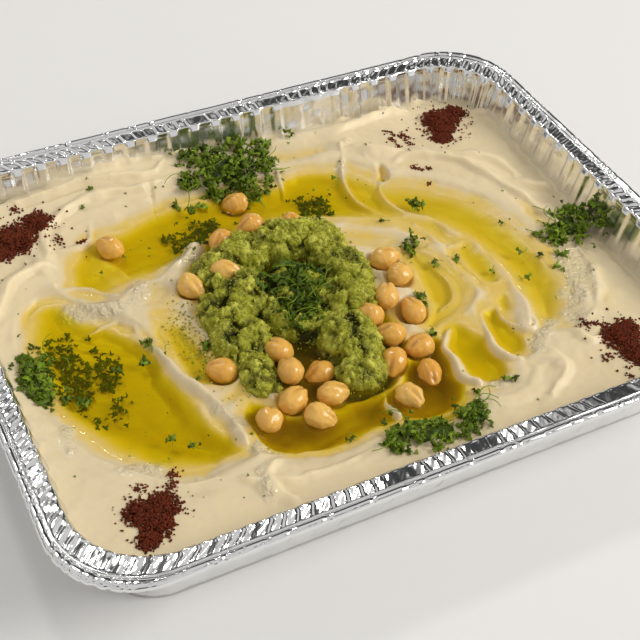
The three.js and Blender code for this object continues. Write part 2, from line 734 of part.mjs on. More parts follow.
function addPart(name, manifold, colour, roughness, metalness = 0) {
  const material = new THREE.MeshStandardMaterial({ color: colour, roughness, metalness });
  const mesh = new THREE.Mesh(geometryOf(manifold), material);
  mesh.name = name;
  object.add(mesh);
}

// A solid with the gap kept over it.
const raised = (manifold) => manifold.add(manifold.translate([0, 0, GAP]));

const chickpeas = SETTLED.map((_, k) => makeChickpea(k));
const aroundChickpeas = joined(SETTLED.map((_, k) => makeChickpea(k, GAP)));
const chickpeaHoles = joined(SETTLED.map((_, k) => chickpeaHole(k)));
const dip = largest(makeDip().subtract(aroundChickpeas));
const mash = largest(makeMash().subtract(joined([raised(dip), chickpeaHoles])));
const aroundMash = makeMash(GAP);
const underOil = joined([raised(dip), chickpeaHoles, aroundMash]);
const oils = HOLLOWS.map((hollow) => makeOil(hollow, underOil));
const underGarnish = joined([raised(dip), aroundChickpeas, raised(aroundMash), ...oils.map(raised)]);

addPart('foil_tray', makeTray(), COLOURS.foil, 0.3, 1);
addPart('hummus', dip, COLOURS.hummus, 0.55);
chickpeas.forEach((chickpea, k) => {
  const number = String(k + 1).padStart(2, '0');
  addPart(`chickpea_${number}`, chickpea, COLOURS.chickpea, 0.45);
});
addPart('green_mash', mash, COLOURS.mash, 0.4);
HOLLOWS.forEach(({ name }, k) => addPart(name, oils[k], COLOURS.oil, 0.05));

const foodHeight = (x, y) => Math.max(dipHeight(x, y), OIL.level);
PARSLEY.forEach((heap, k) => {
  const ground = heap.onMash ? mashHeight : foodHeight;
  addPart(heap.name, makeHeap(heap, 20 + k, ground, underGarnish), COLOURS.parsley, 0.6);
});
SUMAC.forEach((heap, k) => {
  addPart(heap.name, makeHeap(heap, 40 + k, foodHeight, underGarnish), COLOURS.sumac, 0.9);
});

export default object;
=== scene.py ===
"""Looks of hummus in a half-size foil tray, dressed with oil, chickpeas, green mash, parsley and sumac.

Shapes are worked out in millimetres, with X along the tray, Y across it and heights over the flat of its
rim, and go into the meshes in metres over the table. Every random draw has a seed, so each run gives the
same part.
"""

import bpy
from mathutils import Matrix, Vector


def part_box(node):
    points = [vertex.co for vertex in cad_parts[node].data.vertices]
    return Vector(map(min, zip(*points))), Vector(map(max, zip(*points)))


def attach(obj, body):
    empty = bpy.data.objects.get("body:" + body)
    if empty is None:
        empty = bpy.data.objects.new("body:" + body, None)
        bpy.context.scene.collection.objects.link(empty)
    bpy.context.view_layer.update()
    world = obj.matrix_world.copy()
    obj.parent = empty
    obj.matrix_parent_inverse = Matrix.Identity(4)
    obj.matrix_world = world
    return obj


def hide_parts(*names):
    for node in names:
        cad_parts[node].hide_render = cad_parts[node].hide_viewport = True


bl_info = {
    "name": "Hummus in a foil tray",
    "version": (1, 0, 0),
    "blender": (4, 5, 0),
    "location": "View3D > Sidebar > Hummus",
    "description": "Foil tray of spoon-swirled hummus with oil, chickpeas, mash, parsley and sumac",
    "category": "Add Mesh",
}

from functools import lru_cache

import bpy
import numpy as np
from bpy.props import FloatProperty, FloatVectorProperty, IntProperty, PointerProperty
from mathutils import Matrix, Vector

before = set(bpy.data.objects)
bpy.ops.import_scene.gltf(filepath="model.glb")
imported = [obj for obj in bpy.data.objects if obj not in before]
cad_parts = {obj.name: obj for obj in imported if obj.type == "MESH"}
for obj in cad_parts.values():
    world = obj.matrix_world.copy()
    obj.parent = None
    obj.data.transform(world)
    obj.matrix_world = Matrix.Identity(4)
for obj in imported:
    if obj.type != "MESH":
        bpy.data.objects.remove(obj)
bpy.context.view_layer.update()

MM = 0.001
DOORWAY = (0.338, 0.635, 0.695)  # the way to the room's dark doorway, which flat oil mirrors to the camera
CAMERA_PLACE = (-0.20163, -0.37282, 0.41358)
CAMERA_TURN = (28.39, 44.03, -2.69)  # degrees to the right, down and round

# ---- Driving sizes, in millimetres ----

RIM = 42.0  # flat of the rim over the table
TRAY = {
    "half": (150.0, 120.0),  # from the middle to the mouth
    "corner": 34.0,  # radius of the mouth's corners
    "rim_corner": 36.0,  # radius of the rim's corners
    "slope": 0.25,  # of the wall, sideways per unit of height
    "flute": 2.2,  # depth
    "foil": 0.8,  # thickness
}
FLUTES_SHORT, FLUTES_LONG, FLUTES_CORNER = 15, 20, 5
FLUTES = 2 * (FLUTES_SHORT + FLUTES_LONG) + 4 * FLUTES_CORNER

DIP_LEVEL = -13.5  # over the rim's plane, as other heights are where nothing else is said
TILT_ALONG = -1.5  # how the dip's level changes from the middle to the right wall
# Where the dip sinks (or rises): by how much, and the stretches of x and y over which that grows to full.
SAGS = (
    (5.0, (108, 144), (100, -20)),
    (3.0, (40, 110), (60, 115)),
    (-2.5, (20, -40), (85, 112)),
)

OIL_LEVEL = -16.5
POOL_FOOT = 0.5  # how far a pool's bottom goes into the dip under it
SHORE = 11.0  # how far from a shore the dip lies low
BEACH, BEACH_RISE = 0.25, 0.07  # its height over the oil at the shore, and its rise for each millimetre
# Hollows left by the spoon: depth, run from the shore to full depth, and routes of x, y and half width.
HOLLOWS = {
    "oil_far": (3.7, 9, [
        [(-95, 45, 9), (-82, 57, 17), (-66, 59, 17), (-48, 65, 17), (-28, 66, 15), (-6, 65, 13),
         (12, 63, 14), (26, 62, 18), (40, 56, 19), (54, 43, 14), (69, 36, 13), (82, 24, 11),
         (90, 8, 12), (94, -12, 11), (95, -30, 11), (92, -47, 10), (87, -59, 7)],
        [(60, 30, 6), (68, 20, 6), (72, 8, 4.5), (72, 2, 2)],
    ]),
    "oil_left": (5.5, 10, [
        [(-119, 32, 8), (-119, 18, 13), (-113, 0, 20), (-108, -18, 25), (-103, -38, 23),
         (-96, -56, 17), (-86, -66, 10), (-74, -71, 4)],
    ]),
    "oil_near": (8, 7, [
        [(-60, -60, 6), (-54, -74, 9), (-38, -79, 9), (-20, -77, 10), (-4, -79, 9), (11, -79, 13),
         (21, -68, 11), (27, -56, 5)],
        [(-23, 22, 30), (-18, -8, 38), (-15, -40, 32)],
    ]),
    "oil_crescent": (2.6, 5, [[(51, -3, 6), (52, -15, 8), (50, -26, 8), (44, -36, 5), (34, -43, 3)]]),
    "oil_film": (1.6, 4, [[(75, -7, 5), (76, -17, 6), (75, -26, 5)]]),
    "oil_near_right": (3.5, 6, [[(41, -54, 7), (42, -66, 10), (42, -77, 9)]]),
    "oil_right_tip": (3, 5, [[(63, -50, 5), (61, -62, 7), (60, -69, 6)]]),
    "oil_right_cup": (3, 4, [[(74, -45, 5), (74, -53, 5), (72, -59, 2.5)]]),
    "oil_left_inner": (1.8, 4, [[(-73, 0, 4), (-72, -14, 5), (-71, -28, 4.5), (-67, -35, 2.5)]]),
}

# How dark a pool looks for its depth, where it isn't 1: for x up to 10 and for x from 60. The near pool's is
# painted shade of the mash beside it.
DARKNESS_AND_SHADE = {
    "oil_far": (1.25, 0.5),
    "oil_left": (1.35, 1.35),
    "oil_near": (2.7, 2.7),
    "oil_crescent": (0.55, 0.55),
}

# Crests beside the strokes: the slopes to the left and right of the route, and x, y and the crest's height.
LAND_RIDGES = [
    (0.5, 0.6, [(-60, 40, -12.8), (-72, 28, -13.2), (-76, 14, -13.6), (-78, -6, -13.8), (-76, -24, -13.6),
                (-72, -38, -13.6), (-66, -50, -13), (-66, -62, -12.6), (-68, -72, -13.5)]),
    (0.35, 1.1, [(-142, 4, -12), (-138, 22, -10.8), (-131, 37, -10), (-122, 45, -9.8), (-110, 48, -11)]),
    (0.3, 1.2, [(-146, 28, -11), (-138, 42, -9.4), (-127, 55, -8.6), (-114, 61, -9), (-104, 57, -10)]),
    (0.9, 0.12, [(-104, 84, -10.5), (-107, 74, -10), (-107, 62, -10.5), (-105, 48, -12), (-100, 38, -14)]),
    (0.4, 1.0, [(-104, 86, -11), (-92, 93, -9.4), (-78, 98, -8.7), (-50, 96, -9.8), (-34, 99, -11)]),
    (0.35, 1.2, [(-112, 108, -10), (-98, 110, -9), (-77, 111, -8), (-61, 108, -8.2), (-44, 105, -9),
                 (-34, 112, -8.7)]),
    (0.25, 0.7, [(72, 66, -15), (82, 68, -12.6), (94, 65, -11.6), (104, 57, -11.6), (112, 43, -12.2)]),
    (0.25, 0.7, [(112, 43, -12.2), (117, 28, -13), (121, 14, -14), (125, 2, -15.2), (127, -10, -16.6)]),
    (0.3, 0.5, [(103, 64, -13.4), (115, 56, -12.6), (124, 47, -12.8), (128, 36, -14.4), (127, 28, -16.5)]),
    (0.2, 0.6, [(124, 30, -16.2), (132, 24, -14.8), (140, 20, -15.2), (145, 15, -17.2)]),
    (0.4, 0.4, [(57, 87, -13.6), (66, 84, -12), (75, 77, -12), (86, 72, -13.6)]),
    (0.35, 0.5, [(16, 92, -13), (30, 91, -12.4), (45, 91, -12.2), (60, 92, -12.6)]),
    (0.3, 0.5, [(16, 101, -13), (42, 102, -12), (70, 106, -12.4), (100, 112, -13.5)]),
    (0.3, 0.35, [(128, -20, -17.4), (125, -38, -15.8), (118, -53, -14.8), (107, -66, -14.3),
                 (94, -73, -14.4)]),
    (1.0, 0.35, [(-137, -14, -11.4), (-133, -32, -10.2), (-126, -48, -9.6), (-116, -62, -9.6),
                 (-95, -80, -11)]),
    (1.1, 0.35, [(-135, -44, -11.5), (-127, -58, -11), (-117, -70, -11), (-104, -82, -11.5),
                 (-88, -86, -12.6)]),
    (0.9, 0.3, [(-84, -78, -12.4), (-72, -82, -10.7), (-58, -84, -10.6), (-44, -88, -11), (-26, -91, -12)]),
    (0.3, 0.5, [(-83, -90, -12.6), (-74, -95, -12), (-59, -100, -11.8), (-42, -101, -12), (-29, -98, -13)]),
    (0.9, 0.3, [(12, 38, -15.5), (18, 35, -14.6), (30, 30, -14), (41, 23, -13.8), (51, 14, -14),
                (56, 8, -14.6)]),
    (0.45, 0.45, [(60, 12, -15), (64, 2, -14.6), (66, -9, -14), (66, -18, -13.8), (61, -28, -13.8),
                  (52, -37, -14), (41, -47, -14.4), (33, -55, -14.8)]),
    (0.5, 0.6, [(42, 6, -14.5), (43, -8, -14.5), (41, -22, -14.5), (35, -33, -15.5)]),
    (0.9, 0.25, [(-58, -86, -11.2), (-69, -92, -10.7), (-71, -99, -10.7), (-66, -107, -11.6)]),
    (0.4, 0.3, [(47, -79, -13), (60, -76, -12), (70, -82, -12.2), (71, -93, -12.6), (58, -103, -13.2)]),
    (0.5, 0.4, [(82, -66, -13.5), (88, -74, -12.6), (92, -84, -13), (104, -80, -14)]),
]
PROUD_RIDGES = [
    (1.2, 0.5, [(-88, 4, -14.8), (-83, -10, -14), (-79, -27, -13.6), (-73, -42, -13.3), (-71.5, -56, -13.2),
                (-70, -70, -13.8)]),
    (1.1, 0.9, [(-44, 47, -11), (-52, 41, -12.5), (-61, 38, -14)]),
    (0.9, 0.7, [(-112, 46, -13.5), (-100, 42, -14.4), (-90, 33, -14.6), (-82, 22, -14.6), (-77, 10, -14.8)]),
    (1.2, 0.5, [(-80, 92, -12.5), (-83, 82, -13.5), (-86, 74, -15), (-95, 71, -14.6), (-105, 71, -13.5)]),
    (1.6, 1.9, [(19, 93, -13), (16, 84, -13.8), (14, 75, -15.3), (13, 66, -19)]),
    (1.6, 0.9, [(57, 92, -12.8), (54, 85, -13), (48, 73, -14.2), (44, 58, -15.6), (45, 46, -16.4),
                (51, 35, -17.3), (50, 26, -18)]),
    (1.6, 0.5, [(66, 83, -13.6), (65, 72, -14), (64, 60, -15.4), (58, 50, -16.3), (60, 38, -16.5),
                (64, 30, -16.2)]),
    (1.4, 0.3, [(64, 30, -16.2), (70, 24, -15.9), (75, 16, -15.7), (77, 4, -15.9), (81, -5, -16),
                (83, -16, -16.1), (83, -28, -15.9), (81, -40, -15.3), (79, -52, -14.4), (74, -62, -13.4)]),
    (0.9, 0.5, [(62, 22, -16), (63, 12, -15.5), (65, 2, -15.2), (70, -1, -15.4), (76, 0, -15.7)]),
    (1.4, 1.0, [(67, -46, -16.1), (66, -54, -15.2), (68, -61, -14.2), (71, -66, -13.2), (76, -64, -13.6),
                (78, -57, -14.4)]),
    (1.0, 1.4, [(57, -46, -16.1), (54, -58, -15.2), (51, -66, -13.8), (53, -73, -13), (58, -79, -13)]),
    (1.0, 1.5, [(39, -50, -15.8), (31, -58, -14.2), (31, -67, -13.6), (29, -77, -12.8), (33, -84, -13)]),
    (1.8, 1.4, [(-4, -68, -18), (-8, -78, -15), (-6, -86, -12.5)]),
    (0.15, 1.4, [(50, 2, -17.2), (54, -13, -16.8), (54, -24, -16.8), (50, -32, -16.9), (42, -36, -17)]),
    (0.6, 1.4, [(-108, 14, -16.4), (-101, 15.5, -15.6), (-94, 15, -15), (-89, 11, -14.6), (-88, 4, -14.8),
                (-87, -3, -15.8)]),
    (1.2, 0.04, [(-90, 70, -17.3), (-87, 63, -17.6), (-82, 54, -17.8), (-79, 43, -17.6)]),
]
# Ground so low that a film of oil stands on it: its height over the oil, and routes of x, y and half width.
FILMS = [
    (0.35, [(75, 0, 3), (76, -12, 5), (77, -28, 5), (74, -42, 6)]),
    (0.3, [(70, -50, 5), (62, -55, 5)]),
    (0.3, [(60, -62, 6), (66, -68, 5)]),
    (0.3, [(46, -50, 6), (42, -64, 9), (40, -78, 9)]),
    (0.6, [(-70, 24, 4), (-72, 5, 5), (-70, -12, 5), (-68, -30, 5), (-62, -48, 4)]),
    (0.5, [(20, 99, 2), (34, 96, 3), (46, 96, 2)]),
    (0.6, [(25, 26, 4), (38, 18, 4), (46, 8, 3)]),
]
# Wet patches on the dip: routes of x, y and half width.
WET = [
    [(116, -10, 6), (120, -24, 8), (117, -38, 9), (108, -52, 8), (96, -64, 6)],
    [(-109, 30, 6), (-99, 25, 7), (-90, 21, 4)],
    [(-62, 44, 3), (-47, 42, 4)],
    [(-76, 34, 5), (-82, 24, 4)],
    [(50, 76, 3), (46, 68, 3)],
    [(62, 58, 2), (66, 60, 3)],
    [(84, -66, 4), (74, -72, 4), (66, -78, 3)],
    [(-72, -52, 4), (-68, -60, 4)],
    [(-66, -76, 4), (-60, -80, 3)],
    [(34, -86, 3), (46, -88, 4)],
    [(-118, -66, 4), (-108, -70, 4)],
    [(-136, -36, 3), (-137, -50, 3)],
    [(-74, -90, 3), (-73, -103, 3)],
]
# Knife cuts: the slope of both sides, and x, y and the bottom's height.
CUTS = [
    (1.3, [(-49, 94, -14), (-51, 80, -17.5), (-53, 60, -22)]),
    (1.6, [(66, 68, -18), (64.5, 60, -21)]),
    (1.2, [(-108, 105, -12.5), (-92, 106, -12.6), (-77, 106.5, -12.2), (-62, 103.5, -12.2),
           (-46, 100.5, -13)]),
]

# Where the dip meets the far and the right wall: x or y, and the height there.
FAR_EDGE = ((-140, -107, -86, -65, -39, -10, 19, 45, 82, 114),
            (-14, -13, -9.5, -8, -11, -14, -17, -17, -18, -19))
RIGHT_EDGE = ((-90, -43, -20, 0, 23, 46, 66, 90), (-20, -23.5, -22.5, -21.5, -19.5, -19.5, -18, -18))
FAR_BAND, RIGHT_BAND = 95, 125  # the y and the x past which it creeps towards those heights

# Lobes of the green mash: x, y, half width along X and Y, and height over the oil.
MASH_LOBES = [
    (-42, 24, 13, 15, 9), (-26, 33, 17, 12, 11), (-4, 34, 18, 12, 12), (12, 26, 12, 16, 9),
    (-48, -2, 13, 17, 10), (-36, 6, 14, 15, 12), (-49, -20, 14, 18, 10), (-50, -42, 9, 12, 7),
    (14, 2, 11, 18, 11), (5, -18, 13, 17, 12), (-6, -40, 14, 19, 12), (-9, -56, 12, 11, 8),
    (-16, -8, 20, 26, 9),
]
# Hollows in the mash, darkened by painted shade: x, y and radius.
MASH_PITS = [(-38, 12, 7), (-6, -39, 7), (-35, -9, 6), (-38, -38, 6), (-50, 0, 5), (-54, -18, 6), (-24, 6, 9),
             (-18, -16, 10), (-24, -34, 8), (-8, -20, 5)]
MASH_SINK = 5.5  # how far its foot is below the oil
MASH_SPAN = ((-68, 34), (-76, 62))  # ends of its ground along X and along Y

FLAKE_SPAN = ((-140, -108), (140, 112))  # near left and far right ends of the ground that flakes lie on
FLAKES = 130
WALL_GAP = 8  # flakes and stalks stay so far inside the mouth
GRAIN_CORNERS = 6

CHICKPEA_SIZE = (13.0, 11.6, 11.2)
CHICKPEA_BEAK = 1.4
SEAT_DEPTH, SEAT_BOWL = 6.3, 13.0  # from a chickpea's middle to its seat, and how wide the seat opens
CHICKPEAS = [f"chickpea_{k:02d}" for k in range(1, 26)]

# Heaps of chopped parsley: outline, number of leaflets, thickness and middle.
PARSLEY = {
    "parsley_far": ([(-28, 113), (-20, 115), (8, 117), (22, 110), (25, 104), (18, 92), (12, 80), (6, 72),
                     (-2, 68), (-10, 75), (-22, 78), (-36, 70), (-40, 82), (-32, 92), (-30, 104)],
                    520, 6, (-8, 94)),
    "parsley_near": ([(-20, -96), (-14, -91), (-4, -92), (4, -95), (14, -93), (26, -94), (27, -100),
                      (20, -107), (8, -109), (-4, -110), (-14, -109), (-20, -104)], 300, 5, (2, -101)),
    "parsley_right": ([(113, -16), (122, -8), (130, -2), (139, 2), (146, -2), (142, -14), (132, -21),
                       (126, -26), (119, -22)], 230, 6, (130, -10)),
    "parsley_left": ([(-145, 2), (-142, 10), (-137, 12), (-133, 4), (-132, -8), (-133, -18), (-138, -22),
                      (-143, -14), (-145, -6)], 170, 4, (-138, -6)),
    "parsley_on_mash": ([(-24, 22), (-15, 21), (-4, 19), (4, 8), (0, -6), (-9, -18), (-18, -25), (-27, -31),
                         (-31, -26), (-28, -12), (-29, 3)], 260, 4, (-14, 0)),
}
# Sprigs strewn on the dip: x, y and number of leaflets.
SPRIGS = [
    (54, 9, 22), (68, 34, 12), (37, -27, 7), (-64, -14, 6), (50, 3, 5), (48, 30, 3), (-104, -11, 4),
    (-86, -2, 4), (109, -35, 4), (56, -8, 3), (67, -8, 3), (-98, -57, 3), (-90, -64, 4), (47, -87, 4),
    (30, -88, 3), (-31, -87, 2), (30, -49, 3), (78, -24, 1), (90, -35, 2), (98, -19, 1), (104, -24, 1),
    (100, 4, 1), (-91, -14, 3), (-77, 103, 2), (-82, 95, 1), (36, 111, 3), (41, 70, 1), (-74, -31, 1),
    (-81, -10, 1), (117, -20, 7), (113, -27, 4), (146, -8, 12), (146, -13, 18), (146, -19, 12),
    (-128, -18, 7), (-124, -24, 6), (-131, 8, 5),
]
# Leaves sunk in the oil: outlines and numbers.
SUNK = [
    ([(-52, 50), (-52, 64), (-40, 69), (-22, 68), (-20, 56), (-34, 50)], 190),
    ([(13, 52), (16, 64), (30, 63), (34, 54), (26, 48)], 130),
    ([(-133, 22), (-118, 18), (-104, 4), (-103, -18), (-110, -38), (-122, -32), (-131, -8)], 360),
]
# Spills of sumac: spots of x, y and radius, and smaller groups of loose grains round them.
SUMAC = {
    "sumac_near_left": ([(-123, -90, 8), (-113, -90, 8), (-119, -98, 8), (-124, -103, 6)],
                        [(-107, -82, 3), (-103, -75, 3), (-119, -79, 3)]),
    "sumac_far_left": ([(-120, 85, 13), (-106, 92, 9), (-128, 77, 7)],
                       [(-91, 74, 2.5), (-113, 104, 3), (-101, 77, 3)]),
    "sumac_far_right": ([(118, 92, 12), (114, 84, 8), (110, 77, 7), (129, 96, 7)],
                        [(92, 86, 4), (85, 93, 2), (87, 90, 2), (84, 86, 2.5), (84, 79, 2), (92, 79, 2),
                         (83, 60, 2.5), (85, 57, 2), (90, 56, 2), (84, 46, 1.5)]),
    "sumac_near_right": ([(105, -87, 10), (112, -84, 7), (105, -99, 8)],
                         [(96, -74, 3), (101, -76, 2.5), (92, -95, 2.5), (95, -108, 2)]),
}

# ---- Numbers ----


def mix(a, b, t):
    """The way from a to b, by the part t."""
    return a + (b - a) * t


def smooth(low, high, x):
    """0 up to low, 1 from high, and an S-shaped step 3t^2 - 2t^3 between."""
    t = np.clip((x - low) / (high - low), 0, 1)
    return t * t * (3 - 2 * t)


def higher(a, b, blend):
    """The higher of two, rounded where they are nearer than blend: max + (blend - |a - b|)^2 / 4 blend."""
    near = np.maximum(blend - np.abs(a - b), 0)
    return np.maximum(a, b) + near * near / (4 * blend)


def lower(a, b, blend):
    """The lower of two, rounded in the same way."""
    return -higher(-a, -b, blend)


def lattice(i, j, seed):
    """A random number from 0 to 1 for each pair of whole numbers, always the same for one seed."""
    h = (i.astype(np.int64) * 374761393 + j.astype(np.int64) * 668265263 + seed * 9973) & 0xFFFFFFFF
    h = ((h ^ (h >> 13)) * 1274126177) & 0xFFFFFFFF
    return ((h ^ (h >> 16)) & 0xFFFFFF) / 0xFFFFFF


def noise(x, y, size, seed):
    """Soft noise from -1 to 1: random numbers at the corners of squares of one size, with S-shaped blends."""
    x, y = np.broadcast_arrays(np.asarray(x, float) / size, np.asarray(y, float) / size)
    i, j = np.floor(x), np.floor(y)
    u, v = smooth(0, 1, x - i), smooth(0, 1, y - j)
    low = mix(lattice(i, j, seed), lattice(i + 1, j, seed), u)
    high = mix(lattice(i, j + 1, seed), lattice(i + 1, j + 1, seed), u)
    return 2 * mix(low, high, v) - 1


def fractal(x, y, size, octaves, seed):
    """Noise at several sizes, each half as large and half as strong as the one before."""
    return sum(noise(x, y, size / 2**k, seed + k) / 2**k for k in range(octaves))


def lumps(points, size, seed):
    """Domes in space at random places, one in each cube of a grid: sqrt(1 - (distance / radius)^2) over the
    highest of the 27 that can reach a point, and a random number of that one."""
    cells = np.floor(points / size)
    best, number = np.zeros(len(points)), np.zeros(len(points))
    for step in np.ndindex(3, 3, 3):
        cell = cells + step - 1
        i, j = cell[:, 0], cell[:, 1] + 97 * cell[:, 2]
        middle = (cell + np.stack([lattice(i, j, seed + k) for k in range(3)], 1)) * size
        radius = size * (0.5 + 0.4 * lattice(i, j, seed + 3))
        dome = np.sqrt(np.clip(1 - ((points - middle) ** 2).sum(1) / radius**2, 0, 1))
        number = np.where(dome > best, lattice(i, j, seed + 4), number)
        best = np.maximum(best, dome)
    return best, number


def wave(t):
    """A triangle wave from -1 to 1 with period 1."""
    return 4 * np.abs(t - np.floor(t + 0.5)) - 1


def tooth(t, rise):
    """A lopsided triangle wave from -1 to 1 with period 1, which rises for one part of it."""
    t = t - np.floor(t)
    return 2 * np.minimum(t / rise, (1 - t) / (1 - rise)) - 1


def curve(points):
    """A Catmull-Rom curve through the points, with straight ends, as five points for each of its spans."""
    p = np.array(points, float)
    p = np.vstack([2 * p[0] - p[1], p, 2 * p[-1] - p[-2]])
    t = np.arange(5)[:, None] / 5
    spans = []
    for a, b, c, d in zip(p, p[1:], p[2:], p[3:]):
        spans.append(b + 0.5 * t * (c - a + t * (2 * a - 5 * b + 4 * c - d + t * (3 * (b - c) + d - a))))
    return np.vstack(spans + [p[-2:-1]])


def nearest(route, x, y, weigh=False):
    """Nearest place on a route: its score (distance, less the third number if weighed), distance, third
    number, side (+1 is left) and how far along the route it is."""
    route = curve(route)
    score = np.full(np.shape(x), np.inf)
    found = [np.zeros(np.shape(x)) for _ in range(4)]
    along = 0.0
    for a, b in zip(route, route[1:]):
        dx, dy = b[0] - a[0], b[1] - a[1]
        squared = dx * dx + dy * dy
        t = np.clip(((x - a[0]) * dx + (y - a[1]) * dy) / squared, 0, 1)
        distance = np.hypot(x - a[0] - t * dx, y - a[1] - t * dy)
        value = mix(a[2], b[2], t)
        this = distance - value if weigh else distance
        side = np.sign(dx * (y - a[1]) - dy * (x - a[0]))
        closer = this < score
        for k, new in enumerate((distance, value, side, along + t * np.sqrt(squared))):
            found[k] = np.where(closer, new, found[k])
        score = np.minimum(score, this)
        along += np.sqrt(squared)
    return (score, *found)


# ---- Meshes ----


def grid_faces(rows, columns, around=False):
    """Quads of a grid of points stored row by row, joined round to the first column if asked."""
    row = np.arange(rows - 1)[:, None] * columns
    column = np.arange(columns if around else columns - 1)[None, :]
    following = (column + 1) % columns
    corners = [row + column, row + following, row + columns + following, row + columns + column]
    return np.stack([c.ravel() for c in np.broadcast_arrays(*corners)], 1)


def grid_part(mask):
    """The faces of a grid whose four corners are all in the mask, and which points of the grid they use."""
    faces = grid_faces(*mask.shape)
    faces = faces[mask.ravel()[faces].all(1)]
    used, faces = np.unique(faces, return_inverse=True)
    return faces.reshape(-1, 4), used


def fan(starts, ends, middle):
    """Triangles from edges to one point."""
    return np.stack([starts, ends, np.full(len(starts), middle)], 1)


def open_edges(faces):
    """The directed edges of arrays of faces that no other face shares, as their starts and ends."""
    edges = np.concatenate([np.stack([f, np.roll(f, -1, 1)], -1).reshape(-1, 2) for f in faces])
    count = edges.max() + 1
    return edges[~np.isin(edges @ (count, 1), edges @ (1, count))].T


def capped(rows, columns):
    """Faces of a grid that closes round, and fans from its first and last rows to the two points after it."""
    ring = np.arange(columns)
    following = np.roll(ring, -1)
    last, middle = (rows - 1) * columns, rows * columns
    return [grid_faces(rows, columns, around=True)[:, ::-1], fan(ring, following, middle),
            fan(following + last, ring + last, middle + 1)]


def backed(faces, count):
    """Faces of a sheet, of its back, whose points come count later, and of a wall between their edges."""
    a, b = open_edges(faces)
    return [*faces, *(f[:, ::-1] + count for f in faces), np.stack([b, a, a + count, b + count], 1)]


def mesh_piece(name, points, faces, flat=False, **numbers):
    """A mesh object from points in millimetres over the rim's plane and arrays of faces with 3 or 4 corners.
    Each further keyword is an attribute with one number for each point."""
    points = np.asarray(points, float) + (0, 0, RIM)
    corners = np.concatenate([f.ravel() for f in faces])
    counts = np.concatenate([np.full(len(f), f.shape[1]) for f in faces])
    mesh = bpy.data.meshes.new(name)
    mesh.vertices.add(len(points))
    mesh.vertices.foreach_set("co", (points * MM).astype(np.float32).ravel())
    mesh.loops.add(len(corners))
    mesh.loops.foreach_set("vertex_index", corners.astype(np.int32))
    mesh.polygons.add(len(counts))
    mesh.polygons.foreach_set("loop_start", (np.cumsum(counts) - counts).astype(np.int32))
    mesh.polygons.foreach_set("use_smooth", np.full(len(counts), not flat))
    for key, values in numbers.items():
        mesh.attributes.new(key, "FLOAT", "POINT").data.foreach_set("value", values.astype(np.float32))
    mesh.update(calc_edges=True)
    mesh.validate()
    piece = bpy.data.objects.new(name, mesh)
    bpy.context.scene.collection.objects.link(piece)
    return piece


def dress(piece, slot, material, *nodes):
    """Gives a piece its finish and its body, and hides the nodes that it stands for."""
    piece.data.materials.append(material)
    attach(piece, "root")
    if nodes:
        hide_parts(*nodes)


def turns(yaw, tip, roll):
    """Rotation matrices, one for each piece: roll about X, then tip about Y, then yaw about Z."""
    cz, sz, cy, sy, cx, sx = np.cos(yaw), np.sin(yaw), np.cos(tip), np.sin(tip), np.cos(roll), np.sin(roll)
    rows = [
        [cz * cy, cz * sy * sx - sz * cx, cz * sy * cx + sz * sx],
        [sz * cy, sz * sy * sx + cz * cx, sz * sy * cx - cz * sx],
        [-sy, cy * sx, cy * cx],
    ]
    return np.stack([np.stack(row, -1) for row in rows], -2)


def joined(shapes, faces):
    """Joins many small shapes (pieces, points, 3) with the same faces into one mesh."""
    step = np.arange(len(shapes))[:, None, None] * shapes.shape[1]
    return shapes.reshape(-1, 3), [(f[None] + step).reshape(-1, f.shape[1]) for f in faces]


def placed(shapes, faces, places, rotations):
    """Turns and moves many small shapes one by one, and joins them."""
    return joined(np.einsum("nij,npj->npi", rotations, shapes) + places[:, None, :], faces)


# ---- The tray's outline ----

SKELETON = (TRAY["half"][0] - TRAY["corner"], TRAY["half"][1] - TRAY["corner"])
# Flutes and quarter turns passed at the ends of the sides and corners, from the right side's near end.
STATIONS = np.cumsum([0] + [FLUTES_SHORT, FLUTES_CORNER, FLUTES_LONG, FLUTES_CORNER] * 2)
QUARTERS = np.array([0, 0, 1, 1, 2, 2, 3, 3, 4])


def outline_point(u, out):
    """The place u flutes round the tray and set out from its mouth: a point on a rectangle, plus the corner's
    radius in a direction that turns by a quarter along each corner."""
    u = np.mod(u, FLUTES)
    sx, sy = SKELETON
    further = np.maximum(out - (TRAY["rim_corner"] - TRAY["corner"]), 0)
    x = np.interp(u, STATIONS, [sx, sx, sx, -sx, -sx, -sx, -sx, sx, sx]) * (1 + further / sx)
    y = np.interp(u, STATIONS, [-sy, sy, sy, sy, sy, -sy, -sy, -sy, -sy]) * (1 + further / sy)
    turn = np.interp(u, STATIONS, QUARTERS * np.pi / 2)
    radius = TRAY["corner"] + out - further
    return x + radius * np.cos(turn), y + radius * np.sin(turn), turn


def outline_place(x, y):
    """The other way round: how far out from the mouth a place is, how many flutes round, and the way out."""
    sx, sy = SKELETON
    qx, qy = np.abs(x) - sx, np.abs(y) - sy
    away = np.hypot(np.maximum(qx, 0), np.maximum(qy, 0)) + np.minimum(np.maximum(qx, qy), 0)
    cx, cy = np.clip(x, -sx, sx), np.clip(y, -sy, sy)
    turn = np.mod(np.arctan2(y - cy, x - cx), 2 * np.pi)
    right = FLUTES_SHORT * (cy + sy) / (2 * sy) + FLUTES_LONG * (sx - cx) / (2 * sx)
    half_way = FLUTES_SHORT + FLUTES_LONG
    left = half_way + FLUTES_SHORT * (sy - cy) / (2 * sy) + FLUTES_LONG * (cx + sx) / (2 * sx)
    u = np.where(turn < np.pi, right, left) + FLUTES_CORNER * turn / (np.pi / 2)
    return away - TRAY["corner"], u, turn


def ripple(u, size, seed):
    """Noise along the way round the tray, the same at both ends of it."""
    angle = 2 * np.pi * u / FLUTES
    reach = FLUTES / (2 * np.pi)
    return noise(reach * np.cos(angle) + 500, reach * np.sin(angle) + 500, size, seed)


